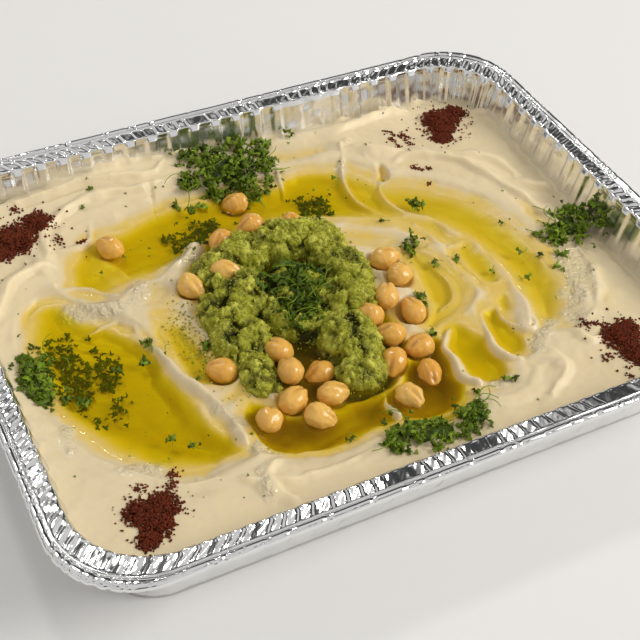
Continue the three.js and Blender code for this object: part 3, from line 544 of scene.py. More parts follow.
def cornered(u):
    """1 half way round a corner and 0 along the sides: sin^2."""
    return np.sin(np.interp(u, STATIONS, QUARTERS) * np.pi) ** 2


def flute_strength(u):
    """How strongly the wall is fluted: uneven from one flute to the next, and nearly smooth in two places."""
    flat = smooth(1.6, 1.0, np.abs(u - 25.6)) + smooth(1.2, 0.7, np.abs(u - 52.3))
    return (0.85 + 0.35 * ripple(u, 1.3, 11)) * (1 - 0.75 * np.clip(flat, 0, 1))


def wall_out(u, height):
    """How far out the wall's inside is: its slope, and trapezoid flutes that grow from the floor upwards and
    fade just below the mouth."""
    stand = np.interp(np.mod(u, 1), [0, 0.33, 0.48, 0.86, 1], [0, 0, 1, 1, 0])
    rise = (1 + height / RIM) * smooth(0.5, -3.5, height)
    crumple = cornered(u) * 0.9 * wave(2.5 * u + 0.3 * ripple(u, 0.7, 12))
    crumple = crumple + 0.12 * ripple(u + height / 9, 0.45, 13)
    return TRAY["slope"] * height + rise * (TRAY["flute"] * flute_strength(u) * stand + crumple)


# ---- The dip ----


def spread(x, y):
    """The height the dip was first spread to: a tilt along X, its sags, and waves a few centimetres long."""
    sunk = sum(fall * smooth(*across, x) * smooth(*along, y) for fall, across, along in SAGS)
    waves = 0.5 * np.sin(x / 17 + 1.3) * np.sin(y / 21) + 0.35 * np.sin((x + y) / 13)
    return DIP_LEVEL + TILT_ALONG * x / TRAY["half"][0] - sunk + waves


def crested(height, ridges, x, y, furrow, lift=0.15):
    """Raises crests: each falls off by its slopes from a rounded top, with fine furrows that run along it."""
    for number, (left, right, route) in enumerate(ridges):
        _, distance, crest, side, along = nearest(route, x, y)
        slope = np.where(side > 0, left, right) * (1.3 + lift + 0.4 * noise(along, 0, 9, 130 + number))
        lines = noise(side * distance + 1.5 * noise(along, 0, 12, 70 + number), along / 14, 2.4, 40 + number)
        worn = 0.7 * noise(along, 0, 7, 90 + number)
        top = crest + lift + worn - slope * (np.hypot(distance, 0.3) - 0.3)
        height = higher(height, top + furrow * lines * smooth(0, 2.5, distance), 0.4)
    return height


def shores(x, y):
    """Signed distance to the shore of each hollow, negative inside."""
    return {name: np.minimum.reduce([nearest(route, x, y, True)[0] for route in routes])
            for name, (_, _, routes) in HOLLOWS.items()}


def chickpea_middles():
    """Middles of the chickpeas, from the boxes of the modelled ones."""
    corners = np.array([[list(corner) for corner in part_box(name)] for name in CHICKPEAS])
    return (corners.min(1) + corners.max(1)) / 2 / MM - (0, 0, RIM)


def dip_height(x, y, furrow):
    """The dip over the rim's plane, on a plan that is bent a little: the spread, low near the shores, less
    the hollows (depth times S-shaped step from the shore inwards), with the crests, cuts and chickpeas'
    seats."""
    seats = [(np.hypot(x - px, y - py), pz) for px, py, pz in chickpea_middles()]
    x, y = (x + 1.1 * noise(x, y, 13, 5) + 0.45 * noise(x, y, 4.5, 6),
            y + 1.1 * noise(x, y, 13, 7) + 0.45 * noise(x, y, 4.5, 8))
    near = shores(x, y)
    lip = 1.5  # how far past a shore the hollow's floor goes on
    distances = np.stack(list(near.values()))
    closest = distances.min(0)
    depth, run = np.array([hollow[:2] for hollow in HOLLOWS.values()]).T[:, distances.argmin(0)]
    run = run * (1.35 + 0.75 * noise(x, y, 26, 35))
    away = np.maximum(closest - lip, 0)
    land = crested(spread(x, y), LAND_RIDGES, x, y, furrow, 0.6)
    land = mix(OIL_LEVEL + BEACH + BEACH_RISE * away, land, smooth(0, SHORE, away))
    for level, route in FILMS:
        edge = nearest(route, x, y, True)[0]
        land = lower(land, OIL_LEVEL + level + 0.25 * np.maximum(edge, 0), 0.5)
    land = land + furrow * noise(closest, x / 9 + y / 9, 3, 30) * smooth(30, 8, closest)
    strokes = 0.3 * fractal(x, y, 9, 2, 31) + 0.35 * noise(closest, (x + y) / 9, 4.5, 34)
    floor = OIL_LEVEL + BEACH - (depth + BEACH) * smooth(0, 1, (lip - closest) / run)
    height = np.where(closest < lip, floor + strokes * smooth(-1, -6, closest), land)
    height = crested(height, PROUD_RIDGES, x, y, 0.6 * furrow)
    for slope, route in CUTS:
        _, distance, bottom, _, _ = nearest(route, x, y)
        height = lower(height, bottom + slope * distance, 0.8)
    for away, pz in seats:
        height = np.minimum(height, pz - SEAT_DEPTH + away**2 / SEAT_BOWL)
    soft = 0.45 * fractal(x, y, 12, 3, 32) + 0.13 * fractal(x, y, 2.6, 2, 33)
    return height + soft * smooth(-lip, 1, closest), near


@lru_cache(maxsize=None)
def dip():
    """The dip's surface on a square grid, rows along Y: x, y, height and the signed distances to the shores.
    It is worked out once, as everything else lies on it."""
    sizes = bpy.context.scene.hummus_sizes
    cell = sizes.cell / MM
    reach_x, reach_y = TRAY["half"][0] + 2.5, TRAY["half"][1] + 2.5
    x, y = np.meshgrid(np.arange(-reach_x, reach_x + cell, cell), np.arange(-reach_y, reach_y + cell, cell))
    height, near = dip_height(x, y, sizes.furrow / MM)
    return x, y, height, near


def sampled(field, x, y):
    """A field of the dip's grid at any places, straight between its points."""
    gx, gy = dip()[:2]
    cell = gx[0, 1] - gx[0, 0]
    i = np.clip((np.asarray(x) - gx[0, 0]) / cell, 0, gx.shape[1] - 1.001)
    j = np.clip((np.asarray(y) - gy[0, 0]) / cell, 0, gx.shape[0] - 1.001)
    a, b = i.astype(int), j.astype(int)
    low = mix(field[b, a], field[b, a + 1], i - a)
    high = mix(field[b + 1, a], field[b + 1, a + 1], i - a)
    return mix(low, high, j - b)


def food_height(x, y):
    """Height of what shows from above, the dip or its oil."""
    return np.maximum(sampled(dip()[2], x, y), OIL_LEVEL)


def over(flat, height):
    """Places in space from places on the plan and their heights."""
    return np.column_stack([flat, height])


def closed_patch(x, y, top, mask, bottom):
    """Points and faces of the part of a height field in which all four corners of a face are in the mask,
    with walls down from its edge and a flat bottom."""
    faces, used = grid_part(mask)
    points = np.stack([x.ravel(), y.ravel(), top.ravel()], 1)[used]
    edges = open_edges([faces])
    ring, low = np.unique(edges, return_inverse=True)
    a, b = edges
    low_a, low_b = low.reshape(edges.shape) + len(points)
    under = points[ring] * (1, 1, 0) + (0, 0, bottom)
    middle = np.append(under[:, :2].mean(0), bottom)
    faces = [faces, np.stack([b, a, low_a, low_b], 1), fan(low_b, low_a, len(points) + len(under))]
    return np.vstack([points, under, middle[None]]), faces, used, ring


def mash_pits(x, y):
    """How far into a hollow of the mash a place is, from 0 to 1, with ragged edges; the mash is sunk there
    and darkened by painted shade.
    """
    ragged = 0.35 * noise(x, y, 4, 69)
    return np.maximum.reduce([smooth(1.2, 0.3, np.hypot(x - px, y - py) / radius + ragged)
                              for px, py, radius in MASH_PITS])


def green_height(x, y):
    """The green mash before it is made grainy: the highest of round lobes, with soft lumps and hollows. The
    second number is its height over the oil without those."""
    dome = np.zeros(np.shape(x))
    for cx, cy, rx, ry, rise in MASH_LOBES:
        inside = np.clip(1 - ((x - cx) / rx) ** 2 - ((y - cy) / ry) ** 2, 0, 1)
        dome = np.maximum(dome, rise * (1 - (1 - inside) ** 2))
    lump = np.sin(x / 3.1 + 2 * np.sin(y / 7)) * np.sin(y / 2.9 + 1.5 * np.sin(x / 6))
    return OIL_LEVEL + dome + (1.5 * lump - 2 * mash_pits(x, y)) * smooth(0, 4, dome), dome


# ---- Pieces ----


def make_tray(steps, crease):
    """A closed skin from rows round the tray: floor, fluted wall, pleated rim, ridge and rolled bead, and the
    same back underneath. The rim's pleats are triangle waves, two to a flute, that slant with the way out."""
    u = np.arange(FLUTES * steps)[None, :] / steps
    foil = TRAY["foil"]
    corner = cornered(u)
    shift = 0.35 * ripple(u, 1.1, 21)
    strength = 0.75 + 0.6 * ripple(u, 0.8, 22) + 0.4 * corner
    nick = smooth(0.45, 0.85, np.abs(ripple(u, 0.17, 26)))
    flat_width = 7.4

    def wall(heights, outer):
        h = heights[:, None] + 0 * u
        return wall_out(u, h) + outer, h

    def level(out, up):
        return out + 0 * u, up + 0 * u

    def band(outs):
        out = outs[:, None] + 0 * u
        along = np.clip(out / flat_width, 0, 1)
        slant = 2 * u + shift + 0.4 * ripple(u, 2.2, 23) * along
        across = 0.15 * tooth(slant + 0.9 * along, 0.75)
        crumpled = 0.6 * corner + 0.6 * (u < FLUTES_SHORT)
        fine = 0.15 * wave(5.3 * u + 0.2 * along) * ripple(u, 0.9, 24) + crumpled * wave(5 * u + shift)
        pleat = crease * (strength * tooth(slant, 0.8) + across + fine)
        pleat = pleat * smooth(0, 0.12, along) * smooth(1, 0.9, along)
        return out, pleat + 0.25 * ripple(u, 6, 25)

    def bead(start, end, rows):
        turn = np.linspace(start, end, rows)[:, None]
        radius = 2.0 + 0.12 * ripple(u, 0.6, 27) - 0.45 * nick
        middle_out, middle_up = 9.9 + 0.15 * ripple(u, 2.5, 28), -0.55 + 0.25 * ripple(u, 5, 29)
        return middle_out + radius * np.cos(turn), middle_up + radius * np.sin(turn)

    heights = np.concatenate([np.linspace(-RIM + foil, -22, 5), np.linspace(-20.5, -1.2, 16)])
    rows = [
        wall(heights, 0),
        level(wall_out(u, -0.4 + 0 * u) + 0.1, -0.35),
        level(0.75 + 0.4 * (wall_out(u, 0 * u) + 0.1), 0.1),
        band(np.linspace(1.2, 7.2, 11)),
        level(7.5, 0.75 + 0.2 * ripple(u, 0.9, 31)),
        level(7.9, 0.8 + 0.2 * ripple(u, 0.9, 31)),
        level(8.1, 0.1),
        bead(2.3, -2.6, 13),
        level(7.6, -1.6),
        level(3.2, -foil),
        wall(np.linspace(-1.8, -RIM + 0.2, 14), foil),
    ]
    out = np.vstack([row[0] for row in rows])
    up = np.vstack([row[1] for row in rows])
    x, y, _ = outline_point(u, out)
    points = np.stack([x, y, up], -1).reshape(-1, 3)
    points[-out.shape[1]:, 2] = -RIM
    points = np.vstack([points, [[0, 0, -RIM + foil], [0, 0, -RIM]]])
    return mesh_piece("tray_of_foil", points, capped(*out.shape))


def make_spread():
    """The dip's height field, cut to the wall of the tray: points beyond the wall go back onto it."""
    x, y, height, near = dip()
    away, u, turn = outline_place(x, y)
    room = wall_out(u, height) - away
    far = np.interp(x, *FAR_EDGE) - height
    right = np.interp(y, *RIGHT_EDGE) - height
    edge = np.where(y > FAR_BAND, far, np.where((x > RIGHT_BAND) & (y < RIGHT_EDGE[0][-1]), right, 0.0))
    creep = edge * smooth(9, 1, room) + 0.6 * smooth(3, 0, room) * (0.6 + ripple(u, 1.7, 51))
    creep = creep + 2.0 * ripple(u, 0.8, 52) * smooth(4, 0, room) * smooth(90, 105, y)
    past = np.maximum(away - wall_out(u, height + creep) - 0.1, 0)
    cell = x[0, 1] - x[0, 0]
    mask = past < 1.6 * cell
    x, y = x - past * np.cos(turn), y - past * np.sin(turn)
    points, faces, used, _ = closed_patch(x, y, height + creep, mask, -RIM + TRAY["foil"] + 0.2)
    inset = TRAY["slope"] * RIM
    low = points[len(used):-1]
    away, _, turn = outline_place(low[:, 0], low[:, 1])
    back = np.maximum(away + inset + 1.5, 0)
    low[:, 0] -= back * np.cos(turn)
    low[:, 1] -= back * np.sin(turn)
    closest = np.minimum.reduce(list(near.values())).ravel()[used]
    base = spread(x, y).ravel()[used]
    pad = np.zeros(len(points) - len(used))
    # Height over the spread, which the finish turns into painted light on crests and painted shade in
    # hollows.
    crest = np.append(points[:len(used), 2] - base, pad)
    flat = points[:len(used), :2].T
    above = points[:len(used), 2] - OIL_LEVEL - 0.35 * noise(*flat, 6, 37)
    soaked = 0.85 * smooth(1.9, 0.0, above) * smooth(26, 12, closest)
    wet = np.zeros(len(used))
    for route in WET:
        edge = nearest(route, *flat, True)[0] + 3 * noise(*flat, 7, 38)
        wet = np.maximum(wet, smooth(2.5, -3.5, edge))
    soaked *= 1 - 0.8 * wet
    return mesh_piece("hummus_spread", points, faces, crest=crest, soaked=np.append(soaked, pad),
                      wet=np.append(wet, pad))


def make_oil(name):
    """One pool: its level top wherever the hollow's floor is under it, over a bottom that dips into that."""
    x, y, height, near = dip()
    low = (height < OIL_LEVEL + 0.05) & (near[name] < 3)
    for other, distance in near.items():
        if other != name:
            low &= distance >= near[name]
    if not low.any():
        raise RuntimeError(f"{name} has no hollow to lie in")
    wide = np.logical_or.reduce([np.roll(low, (i - 1, j - 1), (0, 1)) for i, j in np.ndindex(3, 3)])
    faces, used = grid_part(wide)
    depth = np.maximum(OIL_LEVEL - height, 0).ravel()[used]
    px, py = x.ravel()[used], y.ravel()[used]
    top = np.stack([px, py, np.full(len(used), OIL_LEVEL)], 1)
    bottom = np.stack([px, py, OIL_LEVEL - depth - POOL_FOOT], 1)
    dark = mix(*DARKNESS_AND_SHADE.get(name, (1, 1)), smooth(10, 60, px))
    # The depth is scaled by the pool's darkness, so the near pool carries painted shade.
    return mesh_piece(f"pool_{name}", np.vstack([top, bottom]), backed([faces], len(used)),
                      depth=np.tile(depth * dark, 2))


def draws(seed, count):
    """The first numbers from 0 to 1 of a linear congruential generator."""
    numbers = []
    for _ in range(count):
        seed = (seed * 1664525 + 1013904223) % 2**32
        numbers.append(seed / 2**32)
    return numbers


def ball(rows, columns):
    """Unit directions and closed faces of a ball with its poles along X."""
    polar = np.linspace(0, np.pi, rows + 1)[1:-1, None]
    around = np.linspace(0, 2 * np.pi, columns, endpoint=False)[None, :]
    body = np.stack([np.cos(polar) + 0 * around, np.sin(polar) * np.cos(around),
                     np.sin(polar) * np.sin(around)], -1).reshape(-1, 3)
    return np.vstack([body, [[1, 0, 0], [-1, 0, 0]]]), capped(rows - 1, columns)


def make_chickpea(number, middle, wrinkle):
    """An ellipsoid with a beak (beak times u^4 at the front), a cleft with a swelling on each side of it,
    and wrinkled skin."""
    size, turn, lean = draws(100 + number, 3)
    scale = 1 + 0.06 * (2 * size - 1)
    turn, lean = 2 * np.pi * turn, 0.35 * (2 * lean - 1)
    half = np.array(CHICKPEA_SIZE) / 2 * scale
    unit, faces = ball(32, 42)
    u, v, w = unit.T
    front = np.maximum(u, 0)
    cleft = np.exp(-(v / 0.16) ** 2) * smooth(-0.2, 0.6, u) * smooth(0.995, 0.93, u) * smooth(-0.5, 0.3, w)
    beside = np.exp(-((np.abs(v) - 0.3) / 0.2) ** 2) * front**2
    dents = noise(1.6 * u + 3 * number, 1.8 * v + 1.3 * w, 1, 250)
    folds = np.sqrt(np.abs(noise(4 * u + number, 5 * v + 3 * w, 1, 200 + number)))
    folds = folds + 0.6 * np.sqrt(np.abs(noise(7 * w + number, 8 * v + 3 * u, 1, 300)))
    radius = 1 - 0.12 * cleft + 0.07 * beside + 0.08 * dents + wrinkle * (folds - 0.9) / half[0]
    points = unit * half * radius[:, None]
    points[:, 0] += CHICKPEA_BEAK * front**4
    turned = points @ turns(np.array([turn]), np.array([lean]), np.array([0.0]))[0].T
    shift = np.array([np.cos(turn) * np.cos(lean), np.sin(turn) * np.cos(lean), -np.sin(lean)])
    place = middle - 0.5 * CHICKPEA_BEAK * shift
    return mesh_piece(f"chickpea_whole_{number + 1:02d}", turned + place, faces, cleft=cleft,
                      tint=np.full(len(points), draws(500 + number, 2)[1]))


def make_mash(cell, grain):
    """Green mash: its lobes with clumps, grains and finer grains raised along the surface's normal, pressed
    down round the chickpeas in it, with loose grains on top and crumbs round its foot."""
    x, y = np.meshgrid(*(np.arange(*span, cell) for span in MASH_SPAN))
    height, dome = green_height(x, y)
    for px, py, pz in chickpea_middles():
        away = np.hypot(x - px, y - py)
        height = np.minimum(height, pz + 1.2 + 1.8 * np.maximum(0, away - 4.2))
    slope_y, slope_x = np.gradient(height, cell)
    up = np.stack([-slope_x, -slope_y, 1 + 0 * x], -1).reshape(-1, 3)
    up /= np.linalg.norm(up, axis=1)[:, None]
    place = np.stack([x, y, height], -1).reshape(-1, 3)
    bent = place + np.stack([1.1 * fractal(x, y, 3.6, 3, 61 + k).ravel() for k in range(3)], 1)
    clump, _ = lumps(bent, 3.2 * grain, 60)
    coarse, shade = lumps(bent, 1.35 * grain, 65)
    fine, _ = lumps(bent, 0.7 * grain, 70)
    raised = 1.3 * grain * clump + 0.75 * grain * coarse * (0.25 + shade) + 0.28 * grain * fine - 1.05 * grain
    place = place + up * (raised * smooth(0, 3, dome.ravel()))[:, None]
    px, py, pz = (axis.reshape(x.shape) for axis in place.T)
    mask = dome > 0.5 + 0.5 * noise(x, y, 4, 68)
    points, faces, used, ring = closed_patch(px, py, pz, mask, OIL_LEVEL - MASH_SINK)
    pad = np.zeros(len(points) - len(used))
    # Painted shade: darker between the clumps and grains, and in the pits.
    deep = 1 - (0.66 * clump + 0.22 * coarse + 0.12 * fine) + 0.45 * mash_pits(x, y).ravel()
    deep = np.append(deep[used], pad)
    draw = np.random.default_rng(3)
    on_top, round_foot, left_side = 3600, 400, 320
    top = points[draw.integers(0, len(used), on_top)] + (0, 0, 0.15)
    foot = points[ring[draw.integers(0, len(ring), round_foot)]]
    foot = foot + draw.normal(0, 2.2, (round_foot, 3)) * (1, 1, 0)
    beside = np.column_stack([draw.normal(-66, 4.5, left_side), draw.normal(-10, 15, left_side),
                              np.zeros(left_side)])
    foot = np.vstack([foot, beside])
    foot[:, 2] = food_height(*foot[:, :2].T)
    spots = np.vstack([top, foot])
    shapes, kinds = grain_shapes(draw, len(spots), (0.16 * grain, 0.36 * grain))
    loose, loose_faces = placed(shapes, kinds, spots, turns(*draw.uniform(0, 2 * np.pi, (3, len(spots)))))
    faces = faces + [f + len(points) for f in loose_faces]
    tint = np.concatenate([shade[used], pad, np.repeat(draw.random(len(spots)), GRAIN_CORNERS)])
    return mesh_piece("mash_of_greens", np.vstack([points, loose]), faces,
                      deep=np.append(deep, np.full(len(loose), 0.25)), tint=tint)


def leaf_shapes(draw, count, size, frill):
    """Parsley leaflets: a fan of three deep lobes with teeth, radius 0.42 + 0.58 |cos 1.5a|^0.8, cupped and
    ruffled, with its middle as the last point."""
    teeth = 17
    angle = np.linspace(-2.7, 2.7, teeth)
    lobes = (0.42 + 0.58 * np.abs(np.cos(1.5 * angle)) ** 0.8) * (1 + 0.12 * (-1.0) ** np.arange(teeth))
    lobes[[0, -1]] *= 0.5
    radius = lobes * (1 + 0.25 * (draw.random((count, teeth)) - 0.5))
    width = draw.uniform(0.6, 1.0, (count, 1))
    x, y = radius * np.cos(angle), radius * np.sin(angle) * width
    phase = draw.uniform(0, 2 * np.pi, (count, 1))
    ruffle = frill * np.sin(3.5 * angle + phase) * radius + 0.4 * frill * (draw.random((count, teeth)) - 0.5)
    cup = draw.uniform(-0.7, 0.5, (count, 1)) * radius**2
    rim = np.stack([x, y, ruffle + cup], -1)
    middle = np.zeros((count, 1, 3))
    middle[:, 0, 2] = 0.08
    k = np.arange(teeth)
    return np.concatenate([rim, middle], 1) * size[:, None, None], [fan(k, np.roll(k, -1), teeth)]


def leaves(draw, places, size, tip, frill=0.3):
    """Leaflets at places, each a thin solid turned any way round and tipped by up to so many radians."""
    count = len(places)
    thickness = 0.12
    scale = size[0] + (size[1] - size[0]) * draw.random(count) ** 1.5
    shapes, faces = leaf_shapes(draw, count, scale, frill)
    faces = backed(faces, shapes.shape[1])
    shapes = np.concatenate([shapes, shapes - (0, 0, thickness)], 1)
    around = turns(draw.uniform(0, 2 * np.pi, count), *draw.uniform(-tip, tip, (2, count)))
    points, faces = placed(shapes, faces, places, around)
    return points, faces, np.repeat(draw.random(count), shapes.shape[1])


def stems(draw, starts, length, radius):
    """Thin bent stalks: four-sided tubes along a parabola, from their start outwards."""
    count, rows = len(starts), 6
    t = np.linspace(0, 1, rows)[None, :, None]
    bow = 4 * t * (1 - t)
    yaw = draw.uniform(0, 2 * np.pi, count)
    far = draw.uniform(*length, count)
    flat = np.stack([np.cos(yaw), np.sin(yaw), draw.uniform(-0.15, 0.35, count)], 1) * far[:, None]
    wide = np.stack([-np.sin(yaw), np.cos(yaw), 0 * yaw], 1)
    side = wide * draw.uniform(-0.35, 0.35, count)[:, None]
    lift = np.array([0, 0, 1.0])
    line = starts[:, None] + flat[:, None] * t + side[:, None] * bow * far[:, None, None]
    line = line + lift * (0.12 * far[:, None, None] * bow)
    ring = np.stack([wide, 0 * wide + lift, -wide, 0 * wide - lift], 1) * radius
    points = (line[:, :, None] + ring[:, None]).reshape(count, -1, 3)
    end = 4 * (rows - 1) + np.arange(4)
    return joined(points, [grid_faces(rows, 4, around=True), np.array([[3, 2, 1, 0], end])])


def shaded_piece(name, *groups):
    """Joins groups of points, faces and shades into one piece."""
    points, faces, shade, start = [], [], [], 0
    for some, some_faces, some_shade in groups:
        points.append(some)
        faces += [f + start for f in some_faces]
        shade.append(some_shade)
        start += len(some)
    return mesh_piece(name, np.vstack(points), faces, shade=np.concatenate(shade))


def within_outline(draw, outline, count):
    """Random places within an outline of corners, by drawing in its box and keeping what is inside."""
    corners = np.array(outline, float)
    kept = np.zeros((0, 2))
    while len(kept) < count:
        tries = draw.uniform(corners.min(0), corners.max(0), (4 * count, 2))
        inside = np.zeros(len(tries), bool)
        for a, b in zip(corners, np.roll(corners, -1, 0)):
            crosses = (a[1] > tries[:, 1]) != (b[1] > tries[:, 1])
            at = a[0] + (tries[:, 1] - a[1]) * (b[0] - a[0]) / (b[1] - a[1] + 1e-12)
            inside ^= crosses & (tries[:, 0] < at)
        kept = np.vstack([kept, tries[inside]])
    return kept[:count]


def mound(middle, reach, rise, ground, rough, seed):
    """A closed low mound on whatever lies under it: rise times 1 - part^2 over its ground, roughened."""
    rings, sectors = 14, 48
    part = np.linspace(0, 1, rings + 1)[1:, None]
    turn = np.linspace(0, 2 * np.pi, sectors, endpoint=False)[None, :]
    far = reach(turn) * (1 + 0.12 * np.sin(3 * turn + seed) + 0.1 * np.sin(5 * turn + 2 * seed))
    x, y = middle[0] + part * far * np.cos(turn), middle[1] + part * far * np.sin(turn)
    lump = rise * (1 - part**2) + rough * noise(x, y, 1.4, seed) * smooth(0, 0.3, 1 - part)
    z = ground(x, y) + lump - 0.5 * (part == 1)
    centre = np.array([[middle[0], middle[1], float(ground(*np.array(middle, float))) + rise]])
    foot = np.stack([x[-1], y[-1], ground(x[-1], y[-1]) - 1.5], 1)
    base = np.array([[middle[0], middle[1], foot[:, 2].mean()]])
    points = np.vstack([np.stack([x, y, z], -1).reshape(-1, 3), foot, centre, base])
    return points, capped(rings + 1, sectors), np.zeros(len(points))


def reach_of(outline, middle):
    """How far an outline is from its middle in any direction."""
    arms = np.array(outline, float) - middle
    angles, lengths = np.arctan2(arms[:, 1], arms[:, 0]), np.hypot(*arms.T)
    order = np.argsort(angles)
    return lambda turn: np.interp(turn, angles[order], lengths[order], period=2 * np.pi)


def mash_top(x, y):
    """Height of what shows from above where there is mash, with its grains."""
    return np.maximum(green_height(x, y)[0] + 0.6, food_height(x, y))


def make_parsley(name, many):
    """A heap of chopped leaves: a core in the darkest leaf colour, which is painted shade inside the heap,
    and leaflets over it that lie higher towards its middle. On the mash the leaflets are darkened as painted
    shade.
    """
    outline, count, thick, middle = PARSLEY[name]
    on_mash = name == "parsley_on_mash"
    draw = np.random.default_rng(list(PARSLEY).index(name) + 20)
    ground = mash_top if on_mash else food_height
    flat = within_outline(draw, outline, int(1.4 * count * many))
    flat = flat[noise(*flat.T, 6, 80 + draw.integers(9)) > -0.15]
    count = len(flat)
    strays = draw.random(count) < 0.2
    flat[strays] += draw.normal(0, 4.2, (strays.sum(), 2))
    edge = nearest([(*p, 0) for p in [*outline, outline[0]]], *flat.T)[1]
    pile = thick * smooth(-2, 9, np.where(strays, 0, edge))
    z = ground(*flat.T) + 0.5 + pile * draw.random(count) ** 0.6
    away, u, _ = outline_place(*flat.T)
    inside = away < wall_out(u, z) - 1.8  # a leaf's half width from the wall
    flat, z = flat[inside], z[inside]
    count = len(flat)
    points, faces, shade = leaves(draw, over(flat, z), (1.1, 3.3), 1.0, 0.5)
    # Painted shade: the leaves of the heap on the mash are made darker.
    green = (points, faces, shade * (0.45 if on_mash else 1))
    reach = reach_of(outline, middle)
    # The core takes the darkest leaf colour, as painted shade inside the heap.
    core = mound(middle, lambda turn: 0.42 * reach(turn), 0.35 * thick, ground, 1.1, 5)
    stalk_room = 22  # how far inside the mouth a stalk starts, as it could cross the wall from nearer
    starts = over(flat, z)[away[inside] < -stalk_room][:count // (7 if on_mash else 16)]
    stalks = stems(draw, starts, (4, 15), 0.25)
    return shaded_piece(f"leaves_{name}", green, core, (*stalks, np.full(len(stalks[0]), 0.9)))


def grain_shapes(draw, count, size):
    """Grains: eight-sided lumps with uneven corners."""
    corners = np.array([[1, 0, 0], [0, 1, 0], [-1, 0, 0], [0, -1, 0], [0, 0, 1], [0, 0, -1]], float)
    shapes = corners * draw.uniform(0.55, 1.2, (count, GRAIN_CORNERS, 1))
    shapes = shapes + draw.normal(0, 0.12, (count, GRAIN_CORNERS, 3))
    ring = [(k, (k + 1) % 4) for k in range(4)]
    faces = np.array([(a, b, 4) for a, b in ring] + [(b, a, 5) for a, b in ring])
    return shapes * draw.uniform(*size, (count, 1, 1)), [faces]


def make_sumac(name, many):
    """A spill of ground sumac: low rough mounds, and loose grains that thin out round them."""
    spots, strays = SUMAC[name]
    draw = np.random.default_rng(list(SUMAC).index(name) + 40)
    core = 0.72  # how far a mound reaches, as a part of its spot's radius
    groups, places = [], []
    for k, (x, y, radius) in enumerate(spots):
        groups.append(mound((x, y), lambda turn, r=radius: core * r + 0 * turn, 0.14 * radius, food_height,
                            0.9, k))
        count = int(6.5 * many * radius**2)
        away = radius * np.where(draw.random(count) < 0.7, 0.9 * np.sqrt(draw.random(count)),
                                 np.abs(draw.normal(0, 0.75, count)))
        turn = draw.uniform(0, 2 * np.pi, count)
        flat = np.column_stack([x + away * np.cos(turn), y + away * np.sin(turn)])
        pile = 0.16 * radius * np.maximum(1 - (away / (core * radius)) ** 2, 0)
        places.append(over(flat, food_height(*flat.T) + pile + 0.25))
    for x, y, radius in strays:
        flat = draw.normal((x, y), 0.5 * radius, (int(4 * radius**2), 2))
        places.append(over(flat, food_height(*flat.T) + 0.2))
    places = np.vstack(places)
    shapes, faces = grain_shapes(draw, len(places), (0.3, 0.9))
    points, faces = placed(shapes, faces, places, turns(*draw.uniform(0, 2 * np.pi, (3, len(places)))))
    groups.append((points, faces, np.repeat(draw.random(len(places)), GRAIN_CORNERS)))
    return shaded_piece(f"grains_{name}", *groups)


def make_sprigs():
    """Loose sprigs and flakes of parsley strewn over the dip, and leaves that have sunk into the oil."""
    draw = np.random.default_rng(7)
    groups = []
    centres = np.array(SPRIGS, float)[:, :2]
    many = np.array([count for _, _, count in SPRIGS])
    near = np.repeat(centres, many, 0)
    scatter = np.repeat(0.9 + 0.11 * many, many)
    near = near + draw.normal(0, 1, near.shape) * scatter[:, None]
    z = food_height(*near.T) + 0.4 + draw.random(len(near)) * scatter
    away = outline_place(*near.T)[0]
    on_wall = (away + 1.5) / TRAY["slope"]
    z = np.maximum(z, on_wall)
    groups.append(leaves(draw, over(near, z)[away < -2], (1.1, 2.9), 0.9, 0.5))
    centres = centres[outline_place(*centres.T)[0] < -WALL_GAP]
    stalk = stems(draw, over(centres, food_height(*centres.T) + 0.6), (2, 4.5), 0.2)
    groups.append((*stalk, np.full(len(stalk[0]), 0.9)))
    for outline, count in SUNK:
        flat = within_outline(draw, outline, count) + draw.normal(0, 3, (count, 2))
        flat = flat[noise(*flat.T, 7, 84) > -0.25]
        count = len(flat)
        floor = sampled(dip()[2], *flat.T)
        z = np.maximum(floor + 0.3, OIL_LEVEL - draw.uniform(1.2, 4.0, count))
        points, faces, shade = leaves(draw, over(flat, z), (0.7, 2.3), 0.5, 0.5)
        groups.append((points, faces, 0.3 * shade))
    flat = draw.uniform(*FLAKE_SPAN, (FLAKES, 2))
    flat = flat[outline_place(*flat.T)[0] < -WALL_GAP]
    mash, dome = green_height(*flat.T)
    z = np.maximum(food_height(*flat.T), np.where(dome > 0, mash, -RIM))
    groups.append(leaves(draw, over(flat, z + 0.25), (0.35, 1.1), 0.5))
    return shaded_piece("parsley_sprigs", *groups)


# ---- Materials ----


def add(tree, kind, inputs=None, **settings):
    """Adds a shader node with its settings; each input is a number or colour, or a socket to link."""
    new = tree.nodes.new(f"ShaderNode{kind}")
    for key, value in settings.items():
        setattr(new, key, value)
    for key, value in (inputs or {}).items():
        if isinstance(value, bpy.types.NodeSocket):
            tree.links.new(value, new.inputs[key])
        else:
            new.inputs[key].default_value = value
    return new


def made_of(name, surface, colours):
    """A new material, named as its slot, whose surface is worked out by one of the functions below."""
    material = bpy.data.materials.new(name)
    material.use_nodes = True
    tree = material.node_tree
    tree.nodes.clear()
    add(tree, "OutputMaterial", {"Surface": surface(tree, colours)})
    return material


def blended(tree, amount, low, high):
    """A colour between two, by a socket."""
    low, high = (c if isinstance(c, bpy.types.NodeSocket) else (*c[:3], 1) for c in (low, high))
    return add(tree, "Mix", {0: amount, 6: low, 7: high}, data_type="RGBA").outputs[2]


def ranged(tree, value, low, high, to_low=0.0, to_high=1.0):
    """A number moved from one range to another and kept in it."""
    return add(tree, "MapRange", {"Value": value, "From Min": low, "From Max": high, "To Min": to_low,
                                  "To Max": to_high}, clamp=True).outputs["Result"]


